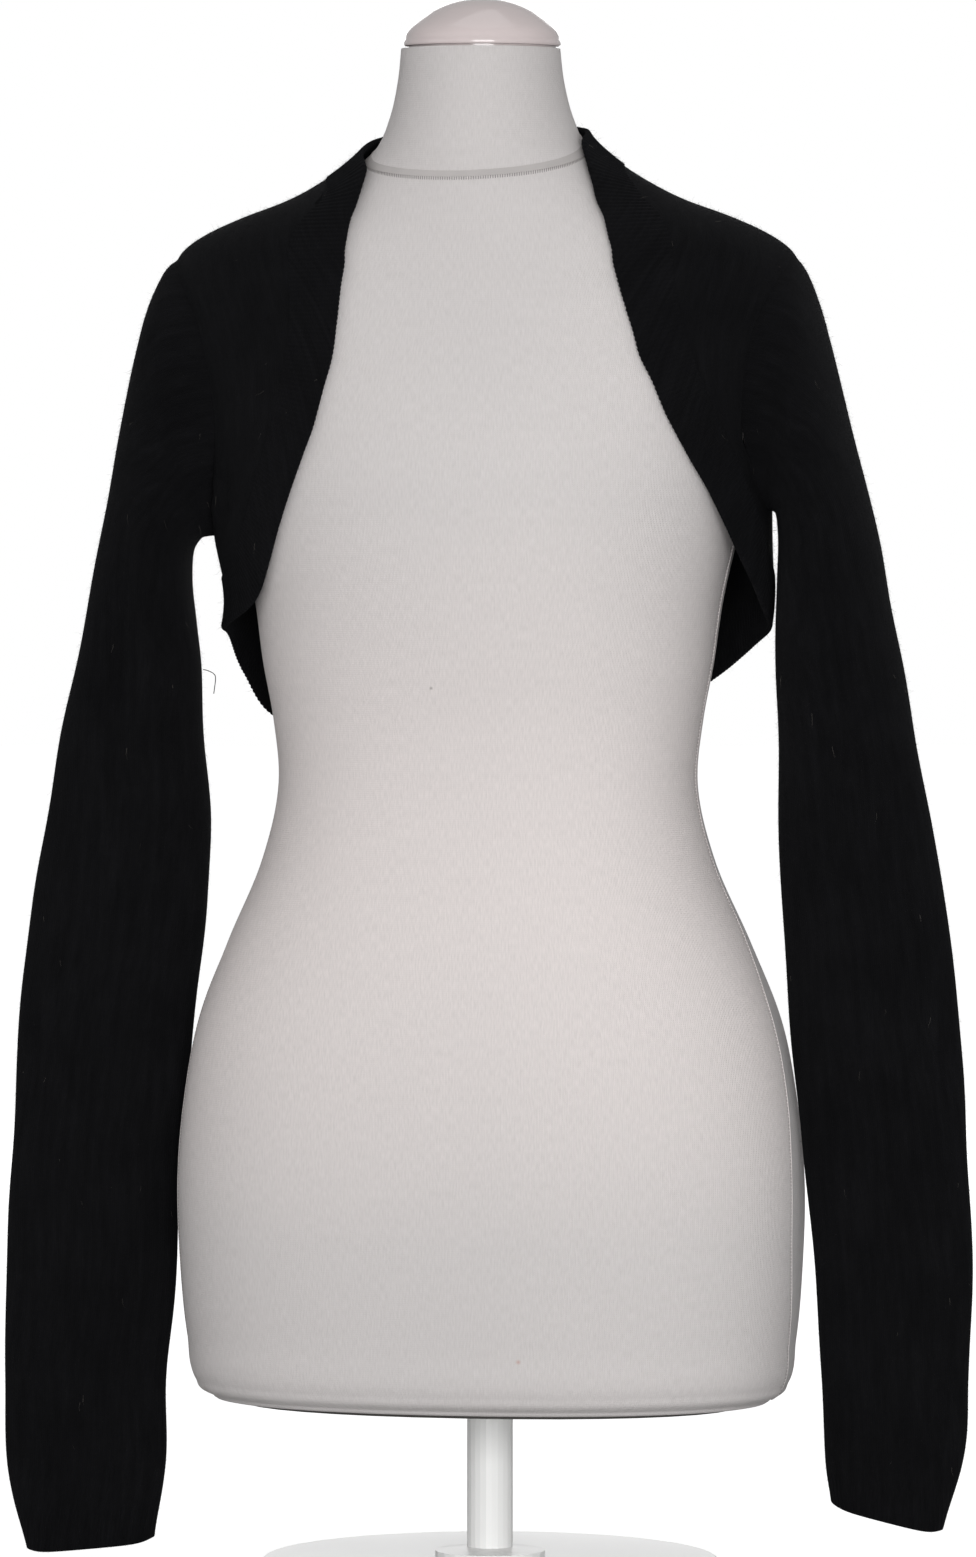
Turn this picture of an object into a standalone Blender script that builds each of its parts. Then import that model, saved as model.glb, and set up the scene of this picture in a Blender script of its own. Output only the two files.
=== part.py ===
"""Open-front knitted bolero cardigan resting on a limbless dress form with a short stand.

Metres, +Z up. The form faces -Y and the origin is the middle of the stand's underside.
A place on the form or the cloth is given by its turn, 0 at the front, 90 degrees at the
wearer's left side (+X) and 180 at the back, and by its height.
"""

import math

import bmesh
import bpy
import numpy as np

# Cloth
WALL = 0.002          # thickness of the brushed knit
SEAM = 0.0003         # gap between pieces that meet
CURVED_SEAM = 0.00048   # the same round the opening and the armholes, where the walls twist
BAND_WIDTH = 0.025    # ribbed band round the opening
BAND_WALL = 0.0026    # the band is a little thicker than the panels

# Form and stand
FORM_SIDES = 36
NECK_TOP = 0.8308
CAP_SHIFT = 0.0010    # the cap sits a little to the wearer's left
BOARD_THICKNESS = 0.004
BOARD_INSET = 0.016
PLATE_RADIUS = 0.125
PLATE_THICKNESS = 0.008
POLE_RADIUS = 0.0125
FLANGE_RADIUS = 0.030
FLANGE_THICKNESS = 0.004

# Level sections of the form. half_width runs across, side_y places the widest points, front
# and back are the depths from there, fullness is 2 for an ellipse and more for a fuller one.
FORM_SECTIONS = (
    # height  half_width  side_y  front   back  fullness
    (0.0965, 0.1530, 0.004, 0.0940, 0.0970, 2.20),
    (0.0990, 0.1585, 0.004, 0.0985, 0.1015, 2.20),
    (0.1050, 0.1625, 0.004, 0.1020, 0.1050, 2.20),
    (0.1280, 0.1666, 0.004, 0.1050, 0.1080, 2.20),
    (0.1710, 0.1704, 0.003, 0.1080, 0.1130, 2.20),
    (0.2150, 0.1714, 0.002, 0.1090, 0.1165, 2.20),
    (0.2580, 0.1675, 0.001, 0.1080, 0.1165, 2.20),
    (0.3020, 0.1590, 0.000, 0.1050, 0.1100, 2.20),
    (0.3450, 0.1424, -0.003, 0.0980, 0.0970, 2.20),
    (0.3890, 0.1234, -0.005, 0.0890, 0.0850, 2.20),
    (0.4320, 0.1141, -0.006, 0.0840, 0.0785, 2.20),
    (0.4650, 0.1170, -0.005, 0.0870, 0.0790, 2.20),
    (0.4970, 0.1228, -0.004, 0.0950, 0.0830, 2.20),
    (0.5300, 0.1273, -0.002, 0.1050, 0.0890, 2.20),
    (0.5630, 0.1345, 0.000, 0.1130, 0.0960, 2.20),
    (0.5960, 0.1415, 0.002, 0.1170, 0.1020, 2.20),
    (0.6250, 0.1480, 0.003, 0.1140, 0.1040, 2.20),
    (0.6530, 0.1565, 0.003, 0.1060, 0.1030, 2.20),
    (0.6810, 0.1640, 0.003, 0.0960, 0.1000, 2.15),
    (0.6985, 0.1665, 0.002, 0.0900, 0.0960, 2.05),
    (0.7090, 0.1645, 0.001, 0.0855, 0.0920, 1.95),
    (0.7168, 0.1590, 0.000, 0.0825, 0.0885, 1.90),
    (0.7233, 0.1490, -0.002, 0.0795, 0.0855, 1.85),
    (0.7322, 0.1290, -0.005, 0.0755, 0.0820, 1.80),
    (0.7402, 0.1070, -0.009, 0.0715, 0.0770, 1.80),
    (0.7520, 0.0840, -0.015, 0.0655, 0.0700, 1.85),
    (0.7636, 0.0675, -0.020, 0.0605, 0.0640, 1.90),
    (0.7745, 0.0568, -0.024, 0.0570, 0.0595, 1.95),
    (0.7900, 0.0495, -0.026, 0.0530, 0.0550, 2.00),
    (0.8080, 0.0450, -0.028, 0.0490, 0.0510, 2.00),
    (0.8308, 0.0424, -0.029, 0.0460, 0.0480, 2.00),
)

# The middle of the cloth: cover is its distance from the form's skin where it lies on the
# form, and left, right and behind say how much further off it hangs at the sides and the back
CLOTH_REST = (
    # height  cover   left    right   behind  fuller
    (0.4300, 0.0026, 0.0350, 0.0300, 0.0210, 0.50),
    (0.4650, 0.0026, 0.0315, 0.0285, 0.0200, 0.50),
    (0.4970, 0.0026, 0.0245, 0.0230, 0.0165, 0.45),
    (0.5300, 0.0026, 0.0233, 0.0140, 0.0115, 0.35),
    (0.5670, 0.0026, 0.0145, 0.0125, 0.0040, 0.20),
    (0.6100, 0.0027, 0.0055, 0.0055, 0.0005, 0.05),
    (0.6500, 0.0028, 0.0010, 0.0010, 0.0000, 0.00),
    (0.6900, 0.0034, 0.0000, 0.0030, 0.0000, 0.00),
    (0.7150, 0.0046, 0.0000, 0.0050, 0.0000, 0.00),
    (0.7500, 0.0052, 0.0000, 0.0010, 0.0000, 0.00),
    (0.7650, 0.0051, 0.0000, 0.0000, 0.0000, 0.00),
    (0.7800, 0.0040, 0.0000, 0.0000, 0.0000, 0.00),
    (0.8000, 0.0032, 0.0000, 0.0000, 0.0000, 0.00),
)
FRONT_SNUG = 10.0     # in front the side slack gathers near the side
BACK_SNUG = 1.4       # behind it spreads across the back

# Free edge of the opening, from the middle of the back neck over the shoulder, down the
# front and round under the arm to the middle of the back hem
EDGE_LEFT_SIDE = (
    # turn  height
    (180, 0.7870),
    (150, 0.7862),
    (120, 0.7832),
    (95, 0.7800),
    (74, 0.7745),
    (60.6, 0.7634),
    (51.4, 0.7530),
    (41.8, 0.7400),
    (33.7, 0.7260),
    (30.2, 0.7130),
    (29.6, 0.6990),
    (30.8, 0.6860),
    (32.8, 0.6730),
    (35.2, 0.6605),
    (39, 0.6485),
    (42.4, 0.6375),
    (46.0, 0.6272),
    (54.0, 0.6073),
    (61.4, 0.5905),
    (68.5, 0.5700),
    (74.5, 0.5450),
    (84, 0.5260),
    (98, 0.5165),
    (115, 0.5070),
    (135, 0.4870),
    (158, 0.4620),
    (180, 0.4520),
)
EDGE_RIGHT_SIDE = (
    # turn  height
    (180, 0.7870),
    (150, 0.7848),
    (120, 0.7805),
    (95, 0.7750),
    (72, 0.7682),
    (52, 0.7612),
    (44, 0.7530),
    (37.9, 0.7430),
    (31.9, 0.7330),
    (27.2, 0.7230),
    (24.3, 0.7120),
    (22.9, 0.6990),
    (22.6, 0.6860),
    (23, 0.6700),
    (24, 0.6575),
    (25.9, 0.6453),
    (28.2, 0.6320),
    (30.7, 0.6194),
    (36.7, 0.5965),
    (43.9, 0.5730),
    (51.9, 0.5500),
    (61.5, 0.5310),
    (77, 0.5190),
    (95, 0.5110),
    (108, 0.4900),
    (121, 0.4660),
    (148, 0.4540),
    (180, 0.4520),
)

# Armhole, an egg shape in turn and height about the side, wider towards the shoulder
ARMHOLE_TOP = 0.7125
ARMHOLE_FOOT_LEFT = 0.5800
ARMHOLE_FOOT_RIGHT = 0.5660
ARMHOLE_FRONT_TURN = 24
ARMHOLE_BACK_TURN = 28
ARMHOLE_EGG = 0.45
MITRE_LIMIT = 1.25    # how much thicker the mitred edge of a seam may be

# Sleeve rings, from just outside the armhole to the cuff. outer and inner are the ring's two
# edges seen from the front, middle_y its place in depth and half_depth its depth from there.
SLEEVE_LEFT = (
    # outer_x  outer_z  inner_x  inner_z  middle_y  half_depth
    (0.1722, 0.7060, 0.1545, 0.5795, -0.003, 0.0545),
    (0.1785, 0.6895, 0.1560, 0.5792, -0.003, 0.0540),
    (0.1840, 0.6700, 0.1577, 0.5785, -0.003, 0.0525),
    (0.1955, 0.6250, 0.1600, 0.5740, -0.003, 0.0480),
    (0.2047, 0.5900, 0.1605, 0.5610, -0.002, 0.0440),
    (0.2112, 0.5620, 0.1592, 0.5420, -0.001, 0.0410),
    (0.2172, 0.5300, 0.1582, 0.5180, 0.000, 0.0370),
    (0.2240, 0.4980, 0.1580, 0.4940, 0.001, 0.0330),
    (0.2313, 0.4550, 0.1590, 0.4540, 0.001, 0.0270),
    (0.2410, 0.4110, 0.1598, 0.4110, 0.001, 0.0215),
    (0.2480, 0.3680, 0.1614, 0.3680, 0.000, 0.0175),
    (0.2543, 0.3250, 0.1647, 0.3250, -0.001, 0.0150),
    (0.2576, 0.2820, 0.1674, 0.2820, -0.002, 0.0135),
    (0.2601, 0.2390, 0.1723, 0.2390, -0.003, 0.0125),
    (0.2629, 0.1960, 0.1774, 0.1950, -0.003, 0.0120),
    (0.2638, 0.1520, 0.1811, 0.1510, -0.003, 0.0115),
    (0.2620, 0.1090, 0.1844, 0.1080, -0.003, 0.0110),
    (0.2586, 0.0660, 0.1857, 0.0650, -0.003, 0.0105),
    (0.2480, 0.0270, 0.1890, 0.0410, -0.003, 0.0095),
)
SLEEVE_RIGHT = (
    # outer_x  outer_z  inner_x  inner_z  middle_y  half_depth
    (0.1790, 0.7060, 0.1550, 0.5655, -0.003, 0.0545),
    (0.1850, 0.6920, 0.1565, 0.5652, -0.003, 0.0540),
    (0.1908, 0.6700, 0.1590, 0.5648, -0.003, 0.0525),
    (0.2003, 0.6250, 0.1632, 0.5620, -0.003, 0.0480),
    (0.2073, 0.5900, 0.1672, 0.5550, -0.002, 0.0440),
    (0.2136, 0.5620, 0.1680, 0.5400, -0.001, 0.0410),
    (0.2206, 0.5290, 0.1655, 0.5180, 0.000, 0.0370),
    (0.2278, 0.4960, 0.1620, 0.4940, 0.001, 0.0330),
    (0.2374, 0.4520, 0.1601, 0.4520, 0.001, 0.0270),
    (0.2455, 0.4090, 0.1565, 0.4090, 0.001, 0.0215),
    (0.2534, 0.3650, 0.1582, 0.3650, 0.000, 0.0175),
    (0.2595, 0.3210, 0.1633, 0.3210, -0.001, 0.0150),
    (0.2617, 0.2770, 0.1668, 0.2770, -0.002, 0.0135),
    (0.2638, 0.2330, 0.1724, 0.2330, -0.003, 0.0125),
    (0.2667, 0.1890, 0.1737, 0.1890, -0.003, 0.0120),
    (0.2690, 0.1450, 0.1766, 0.1450, -0.003, 0.0115),
    (0.2688, 0.1010, 0.1807, 0.1010, -0.003, 0.0110),
    (0.2680, 0.0540, 0.1810, 0.0570, -0.003, 0.0105),
    (0.2563, 0.0068, 0.1866, 0.0140, -0.003, 0.0095),
)
SLEEVE_FULLNESS = 2.3
HOLE_SHARES = (0.70, 0.50, 0.30, 0.15, 0.05)   # of the armhole's depth kept by the first rings

# Long soft troughs down the sleeves: across is -1 at the inner edge and 1 at the outer one
SLEEVE_TROUGHS_LEFT = (
    # front  across  top_z   foot_z  half_width  depth
    (True, 0.05, 0.590, 0.400, 0.30, 0.0070),
    (False, -0.10, 0.570, 0.380, 0.32, 0.0065),
)
SLEEVE_TROUGHS_RIGHT = (
    # front  across  top_z   foot_z  half_width  depth
    (True, 0.10, 0.575, 0.400, 0.30, 0.0070),
    (False, -0.05, 0.560, 0.370, 0.32, 0.0065),
)

# Grid sizes. Pieces that meet share their points along the seam.
SLEEVE_SIDES = 28
FRONT_ROWS = SLEEVE_SIDES // 2
FRONT_COLUMNS = 8
SIDE_ROWS = 2
NECK_COLUMNS = 5
HEM_COLUMNS = FRONT_COLUMNS + NECK_COLUMNS
SHOULDER = NECK_COLUMNS               # station of the shoulder seam on the opening's loop
SIDE = NECK_COLUMNS + FRONT_ROWS      # station of the side seam
STATIONS = 2 * (SIDE + HEM_COLUMNS)
BAND_ROWS = 3
PATCH_PASSES = 400    # for evening out the inside of a panel's grid
CHEST_RADIUS = 0.15   # turns a turn round the chest into a length
FINE_STATIONS = 360   # to each half of the opening, for working out the seam


def smooth_rows(table, at):
    """Read a table's columns at the given values of its first one, on smooth curves."""
    rows = np.array(table, float)
    knots, values = rows[:, 0], rows[:, 1:]
    slopes = np.gradient(values, knots, axis=0)
    at = np.clip(np.asarray(at, float), knots[0], knots[-1])
    low = np.clip(np.searchsorted(knots, at) - 1, 0, len(knots) - 2)
    span = (knots[low + 1] - knots[low])[..., None]
    part = (at - knots[low])[..., None] / span
    start = values[low] * (1 + 2 * part) + slopes[low] * part * span
    end = values[low + 1] * (3 - 2 * part) + slopes[low + 1] * (part - 1) * span
    return start * (1 - part) ** 2 + end * part ** 2


def signed_power(value, power):
    """Raise a size to a power and keep its sign."""
    return np.sign(value) * np.abs(value) ** power


def form_skin(turn, height, fuller=0.0):
    """Points on the form's skin at turns in radians and heights in metres."""
    turn, height = np.broadcast_arrays(turn, height)
    half_width, side_y, front, back, fullness = np.moveaxis(smooth_rows(FORM_SECTIONS, height), -1, 0)
    facing = np.cos(turn) > 0
    power = 2 / np.where(facing, fullness, fullness + fuller)
    across = signed_power(np.sin(turn), power)
    along = signed_power(np.cos(turn), power)
    return np.stack([half_width * across, side_y - np.where(facing, front, back) * along, height], -1)


def unit(vectors):
    """Vectors of length one."""
    return vectors / np.maximum(np.linalg.norm(vectors, axis=-1, keepdims=True), 1e-12)


def surface_normal(surface, turn, height):
    """The outward direction of a surface given by turn and height."""
    small_turn, small_height = 1e-3, 1e-4
    around = surface(turn + small_turn, height) - surface(turn - small_turn, height)
    upward = surface(turn, height + small_height) - surface(turn, height - small_height)
    return unit(np.cross(around, upward))


def cloth_middle(turn, height):
    """The middle of the cloth, on the form and with slack at the sides and behind."""
    turn, height = np.broadcast_arrays(np.asarray(turn, float), np.asarray(height, float))
    cover, left, right, behind, fuller = np.moveaxis(smooth_rows(CLOTH_REST, height), -1, 0)
    skin = form_skin(turn, height, fuller)
    lifted = skin + surface_normal(form_skin, turn, height) * cover[..., None]
    across, along = np.sin(turn), -np.cos(turn)
    snug = np.where(along < 0, FRONT_SNUG, BACK_SNUG)
    slack_x = np.where(across > 0, left, right) * signed_power(across, snug)
    slack_y = behind * np.maximum(along, 0) ** 1.2
    return lifted + np.stack([slack_x, slack_y, np.zeros_like(slack_x)], -1)


def cloth_normal(turn, height):
    """The cloth's outward direction."""
    return surface_normal(cloth_middle, turn, height)


def spaced_curve(rows, count):
    """Points at even steps on a smooth curve through rows of turn (degrees) and height."""
    knots = np.array(rows, float)
    knots[:, 0] = np.radians(knots[:, 0])
    order = np.arange(len(knots))
    fine = np.linspace(0, len(knots) - 1, 40 * len(knots))
    chart = smooth_rows(np.column_stack([order, knots]), fine)
    places = cloth_middle(chart[:, 0], chart[:, 1])
    steps = np.linalg.norm(np.diff(places, axis=0), axis=1)
    length = np.concatenate([[0], np.cumsum(steps)])
    even = np.linspace(0, length[-1], count)
    return np.column_stack([np.interp(even, length, chart[:, 0]), np.interp(even, length, chart[:, 1])])


def opening_loop():
    """Turn and height round the opening's free edge, from the back neck and round again."""
    left = spaced_curve(EDGE_LEFT_SIDE, FINE_STATIONS + 1)
    right = mirrored(spaced_curve(EDGE_RIGHT_SIDE, FINE_STATIONS + 1))
    return np.concatenate([left[:-1], right[:0:-1]])


def mirrored(chart):
    """The same turns and heights on the other side."""
    return chart * (-1, 1) + (2 * math.pi, 0)


def loop_average(values, passes):
    """Even out a closed loop of rows."""
    for _ in range(passes):
        values = (np.roll(values, 1, axis=0) + 2 * values + np.roll(values, -1, axis=0)) / 4
    return values


def loop_inset(chart, distance, steps=7):
    """Move a loop in the cloth away from the opening by a distance on the cloth."""
    small = 1e-4
    for _ in range(steps):
        turn, height = chart[:, 0], chart[:, 1]
        place = cloth_middle(turn, height)
        around = (cloth_middle(turn + small, height) - place) / small
        upward = (cloth_middle(turn, height + small) - place) / small
        tangent = unit(np.roll(place, -1, axis=0) - np.roll(place, 1, axis=0))
        inward = np.cross(cloth_normal(turn, height), tangent)
        move = inward * distance / steps
        metric = np.stack([
            np.stack([(around * around).sum(1), (around * upward).sum(1)], -1),
            np.stack([(around * upward).sum(1), (upward * upward).sum(1)], -1),
        ], 1)
        wanted = np.stack([(move * around).sum(1), (move * upward).sum(1)], -1)
        change = np.linalg.solve(metric, wanted[..., None])[..., 0]
        chart = chart + loop_average(change, 6)
    return loop_average(chart, 230)


def half_stations(edge, seam):
    """Stations down one half of the opening, with one wherever the seam crosses the side."""
    ahead = np.flatnonzero(seam[:, 0] < math.pi / 2)
    shoulder, side = ahead[0], ahead[-1]
    picked = [0]
    for start, end, count in ((0, shoulder, NECK_COLUMNS), (shoulder, side, FRONT_ROWS),
                              (side, len(edge) - 1, HEM_COLUMNS)):
        picked += list(np.round(np.linspace(start, end, count + 1)).astype(int)[1:])
    seam = seam.copy()
    seam[[shoulder, side], 0] = math.pi / 2
    return edge[picked], seam[picked]


def stations():
    """Turns and heights of the free edge and of the seam at every station of the loop."""
    edge = opening_loop()
    seam = loop_inset(edge, BAND_WIDTH)
    left = half_stations(edge[:FINE_STATIONS + 1], seam[:FINE_STATIONS + 1])
    other = [np.vstack([loop[FINE_STATIONS:], loop[:1] + (2 * math.pi - 2 * loop[0, 0], 0)])[::-1]
             for loop in (edge, seam)]
    right = half_stations(*map(mirrored, other))
    return [np.vstack([one[:-1], mirrored(two)[:0:-1]]) for one, two in zip(left, right)]


def seam_shift(points, outward):
    """Half a seam at each point of a closed line, in the cloth and across the line."""
    along = unit(np.roll(points, -1, axis=0) - np.roll(points, 1, axis=0))
    return unit(np.cross(outward, along)) * CURVED_SEAM / 2


def material(name, colour, roughness, metallic=0.0):
    """A plain principled material."""
    finish = bpy.data.materials.new(name)
    finish.use_nodes = True
    shader = finish.node_tree.nodes["Principled BSDF"]
    shader.inputs["Base Color"].default_value = (*colour, 1)
    shader.inputs["Roughness"].default_value = roughness
    shader.inputs["Metallic"].default_value = metallic
    finish.diffuse_color = (*colour, 1)
    return finish


def finished(name, mesh_data, finish):
    """Turn a bmesh into a named, smooth shaded object."""
    mesh = bpy.data.meshes.new(name)
    bmesh.ops.recalc_face_normals(mesh_data, faces=mesh_data.faces)
    mesh_data.to_mesh(mesh)
    mesh_data.free()
    mesh.shade_smooth()
    mesh.set_sharp_from_angle(angle=math.radians(40))
    mesh.materials.append(finish)
    body = bpy.data.objects.new(name, mesh)
    bpy.context.scene.collection.objects.link(body)
    return body


def ring_verts(mesh_data, points):
    """Vertices at the points of one ring or row."""
    return [mesh_data.verts.new(point) for point in points]


def strip(mesh_data, first, second, closed):
    """Quads between two rows of vertices."""
    count = len(first)
    for here in range(count if closed else count - 1):
        after = (here + 1) % count
        mesh_data.faces.new((first[here], first[after], second[after], second[here]))


def solid_of_rings(name, rings, finish):
    """A closed solid through rings, with a flat face at each end."""
    mesh_data = bmesh.new()
    rows = [ring_verts(mesh_data, ring) for ring in rings]
    for below, above in zip(rows, rows[1:]):
        strip(mesh_data, below, above, True)
    mesh_data.faces.new(rows[0])
    mesh_data.faces.new(rows[-1])
    return finished(name, mesh_data, finish)


def cloth_wall(name, inside, outside, finish, closed):
    """A wall of cloth between an inside and an outside grid of points.

    closed joins each row's end to its start. The two long edges are always filled.
    """
    mesh_data = bmesh.new()
    inner = [ring_verts(mesh_data, row) for row in inside]
    outer = [ring_verts(mesh_data, row) for row in outside]
    for side in (inner, outer):
        for here, after in zip(side, side[1:]):
            strip(mesh_data, here, after, closed)
    strip(mesh_data, inner[0], outer[0], closed)
    strip(mesh_data, inner[-1], outer[-1], closed)
    if not closed:
        for end in (0, -1):
            strip(mesh_data, [row[end] for row in inner], [row[end] for row in outer], False)
    return finished(name, mesh_data, finish)


def armhole_chart(phase, side):
    """Turns and heights round one armhole; phase 0 is the shoulder, pi the underarm."""
    foot = ARMHOLE_FOOT_LEFT if side > 0 else ARMHOLE_FOOT_RIGHT
    middle, reach = (ARMHOLE_TOP + foot) / 2, (ARMHOLE_TOP - foot) / 2
    wide = np.where(np.sin(phase) > 0, ARMHOLE_FRONT_TURN, ARMHOLE_BACK_TURN)
    wide = wide * (1 + ARMHOLE_EGG * np.cos(phase))
    chart = np.column_stack([np.radians(90 - wide * np.sin(phase)), middle + reach * np.cos(phase)])
    return chart if side > 0 else mirrored(chart)


def sleeve_phases():
    """Phases of the points round a sleeve; 0 is the shoulder or outer edge, then the front."""
    return np.linspace(0, 2 * math.pi, SLEEVE_SIDES, endpoint=False)


def armhole_seam(rows, side):
    """The seam of one armhole, mitred between the panels and the sleeve that leaves them.

    side is 1 for the wearer's left and -1 for the right. Returns the seam's points, the
    cloth's direction of thickness there and half a seam towards the sleeve.
    """
    phase = sleeve_phases()
    turn, height = armhole_chart(phase, side).T
    points = cloth_middle(turn, height)
    outward = cloth_normal(turn, height)
    along = unit(np.roll(points, -1, axis=0) - np.roll(points, 1, axis=0))
    leaving = sleeve_rings(rows, phase, points)[0] * (side, 1, 1) - points
    sleeve_outward = unit(np.cross(along, leaving)) * side
    mitre = outward + sleeve_outward
    mitre = unit(mitre - (mitre * along).sum(1, keepdims=True) * along)
    longer = np.minimum(1 / np.maximum((mitre * outward).sum(1), 0.1), MITRE_LIMIT)
    return points, mitre * longer[:, None], unit(np.cross(mitre, along)) * side * CURVED_SEAM / 2


def patch_chart(first, last, left, right):
    """Fill a four-sided patch of turns and heights from its rows and columns, evenly."""
    down = np.linspace(0, 1, len(left))[:, None, None]
    across = np.linspace(0, 1, len(first))[None, :, None]
    rows = (1 - down) * first[None] + down * last[None]
    columns = (1 - across) * left[:, None] + across * right[:, None]
    corners = ((1 - down) * ((1 - across) * first[0] + across * first[-1])
               + down * ((1 - across) * last[0] + across * last[-1]))
    grid = (rows + columns - corners) * (CHEST_RADIUS, 1)
    for _ in range(PATCH_PASSES):
        along = (grid[1:-1, 2:] - grid[1:-1, :-2]) / 2
        down = (grid[2:, 1:-1] - grid[:-2, 1:-1]) / 2
        along_size, down_size, slant = ((one * two).sum(-1, keepdims=True) for one, two in
                                        ((along, along), (down, down), (along, down)))
        twist = grid[2:, 2:] - grid[2:, :-2] - grid[:-2, 2:] + grid[:-2, :-2]
        grid[1:-1, 1:-1] = (down_size * (grid[1:-1, 2:] + grid[1:-1, :-2])
                            + along_size * (grid[2:, 1:-1] + grid[:-2, 1:-1])
                            - slant * twist / 2) / (2 * (along_size + down_size))
    return grid / (CHEST_RADIUS, 1)


def panel(name, chart, seams, side_seams, finish):
    """A cloth panel on a grid of turns and heights.

    seams gives grid places with the points and directions of thickness that they take.
    side_seams is 1 or -1 for the places on the side line, which stay half a seam behind or
    in front of it, and 0 for the others.
    """
    middle = cloth_middle(chart[..., 0], chart[..., 1])
    outward = cloth_normal(chart[..., 0], chart[..., 1])
    for place, points, thickness_way in seams:
        middle[place], outward[place] = points, thickness_way
    middle[..., 1] += side_seams * SEAM / 2
    return cloth_wall(name, middle - outward * WALL / 2, middle + outward * WALL / 2, finish, False)


def band_places(first, last):
    """Station numbers from one to another, either way round the loop."""
    step = 1 if last > first else -1
    return np.arange(first, last + step, step) % STATIONS


def opening_seam(seam):
    """The points, directions of thickness and half seams towards the panels, all round."""
    points = cloth_middle(seam[:, 0], seam[:, 1])
    outward = cloth_normal(seam[:, 0], seam[:, 1])
    return points, outward, seam_shift(points, outward)


def build_front(name, seam, hole, finish, side):
    """One open front, between the band's seam, the shoulder, the armhole and the side."""
    armhole = armhole_chart(np.linspace(0, math.pi, FRONT_ROWS + 1), side)
    picked = band_places(*((SHOULDER, SIDE) if side > 0 else (STATIONS - SHOULDER, STATIONS - SIDE)))
    inner = seam[picked]
    chart = patch_chart(np.linspace(inner[0], armhole[0], FRONT_COLUMNS + 1),
                        np.linspace(inner[-1], armhole[-1], FRONT_COLUMNS + 1), inner, armhole)
    points, outward, shift = opening_seam(seam)
    hole_points, hole_outward, hole_shift = hole
    half = np.arange(FRONT_ROWS + 1)
    seams = ((np.s_[:, 0], (points + shift)[picked], outward[picked]),
             (np.s_[:, -1], (hole_points - hole_shift)[half], hole_outward[half]))
    side_seams = np.zeros(chart.shape[:2])
    side_seams[[0, -1]] = -1
    return panel(name, chart, seams, side_seams, finish)


def build_back(name, seam, left_hole, right_hole, finish):
    """The back, between both shoulders, armholes and side seams, the neck and the hem."""
    phase = np.linspace(2 * math.pi, math.pi, FRONT_ROWS + 1)
    neck = band_places(SHOULDER, -SHOULDER)
    hem = band_places(SIDE, STATIONS - SIDE)
    sides, shoulders = [], []
    for hem_end, neck_end, side in ((hem[0], neck[0], 1), (hem[-1], neck[-1], -1)):
        armhole = armhole_chart(phase, side)
        sides.append(np.vstack([armhole, np.linspace(armhole[-1], seam[hem_end], SIDE_ROWS + 1)[1:]]))
        shoulders.append(np.linspace(armhole[0], seam[neck_end], FRONT_COLUMNS + 1))
    top = seam[neck].copy()
    top[:, 0] = np.unwrap(top[:, 0])
    first = np.vstack([shoulders[0][:-1], top, shoulders[1][-2::-1]])
    chart = patch_chart(first, seam[hem], *sides)
    points, outward, shift = opening_seam(seam)
    seams = [(np.s_[0, FRONT_COLUMNS:-FRONT_COLUMNS], (points + shift)[neck], outward[neck]),
             (np.s_[-1, :], (points + shift)[hem], outward[hem])]
    half = -np.arange(FRONT_ROWS + 1)
    for column, (hole_points, hole_outward, hole_shift) in ((0, left_hole), (-1, right_hole)):
        seams.append((np.s_[:FRONT_ROWS + 1, column], (hole_points - hole_shift)[half],
                      hole_outward[half]))
    side_seams = np.zeros(chart.shape[:2])
    side_seams[0, :FRONT_COLUMNS + 1] = 1
    side_seams[0, -FRONT_COLUMNS - 1:] = 1
    side_seams[FRONT_ROWS:, [0, -1]] = 1
    return panel(name, chart, seams, side_seams, finish)


def build_band(name, edge, seam, finish):
    """The ribbed band, one closed loop between the free edge and its seam."""
    shares = np.linspace(0, 1, BAND_ROWS + 1)
    chart = np.stack([edge + (seam - edge) * share for share in shares])
    middle = cloth_middle(chart[..., 0], chart[..., 1])
    outward = cloth_normal(chart[..., 0], chart[..., 1])
    middle[-1] -= seam_shift(middle[-1], outward[-1])
    inside = middle - outward * WALL / 2
    return cloth_wall(name, inside, inside + outward * BAND_WALL, finish, True)


def sleeve_ring(row, phase):
    """Points round one sleeve ring; phase 0 is the outer edge and a quarter turn the front."""
    outer_x, outer_z, inner_x, inner_z, middle_y, half_depth = row
    across = signed_power(np.cos(phase), 2 / SLEEVE_FULLNESS)
    ahead = signed_power(np.sin(phase), 2 / SLEEVE_FULLNESS)
    x = (outer_x + inner_x) / 2 + across * (outer_x - inner_x) / 2
    z = (outer_z + inner_z) / 2 + across * (outer_z - inner_z) / 2
    return np.stack([x, middle_y - half_depth * ahead, z], -1)


def sleeve_rings(rows, phase, hole):
    """All rings of a sleeve; the first ones keep a share of the armhole's own depth."""
    rings = [sleeve_ring(row, phase) for row in rows]
    for ring, share in zip(rings, HOLE_SHARES):
        ring[:, 1] += (hole[:, 1] - ring[:, 1]) * share
    return rings


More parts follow.
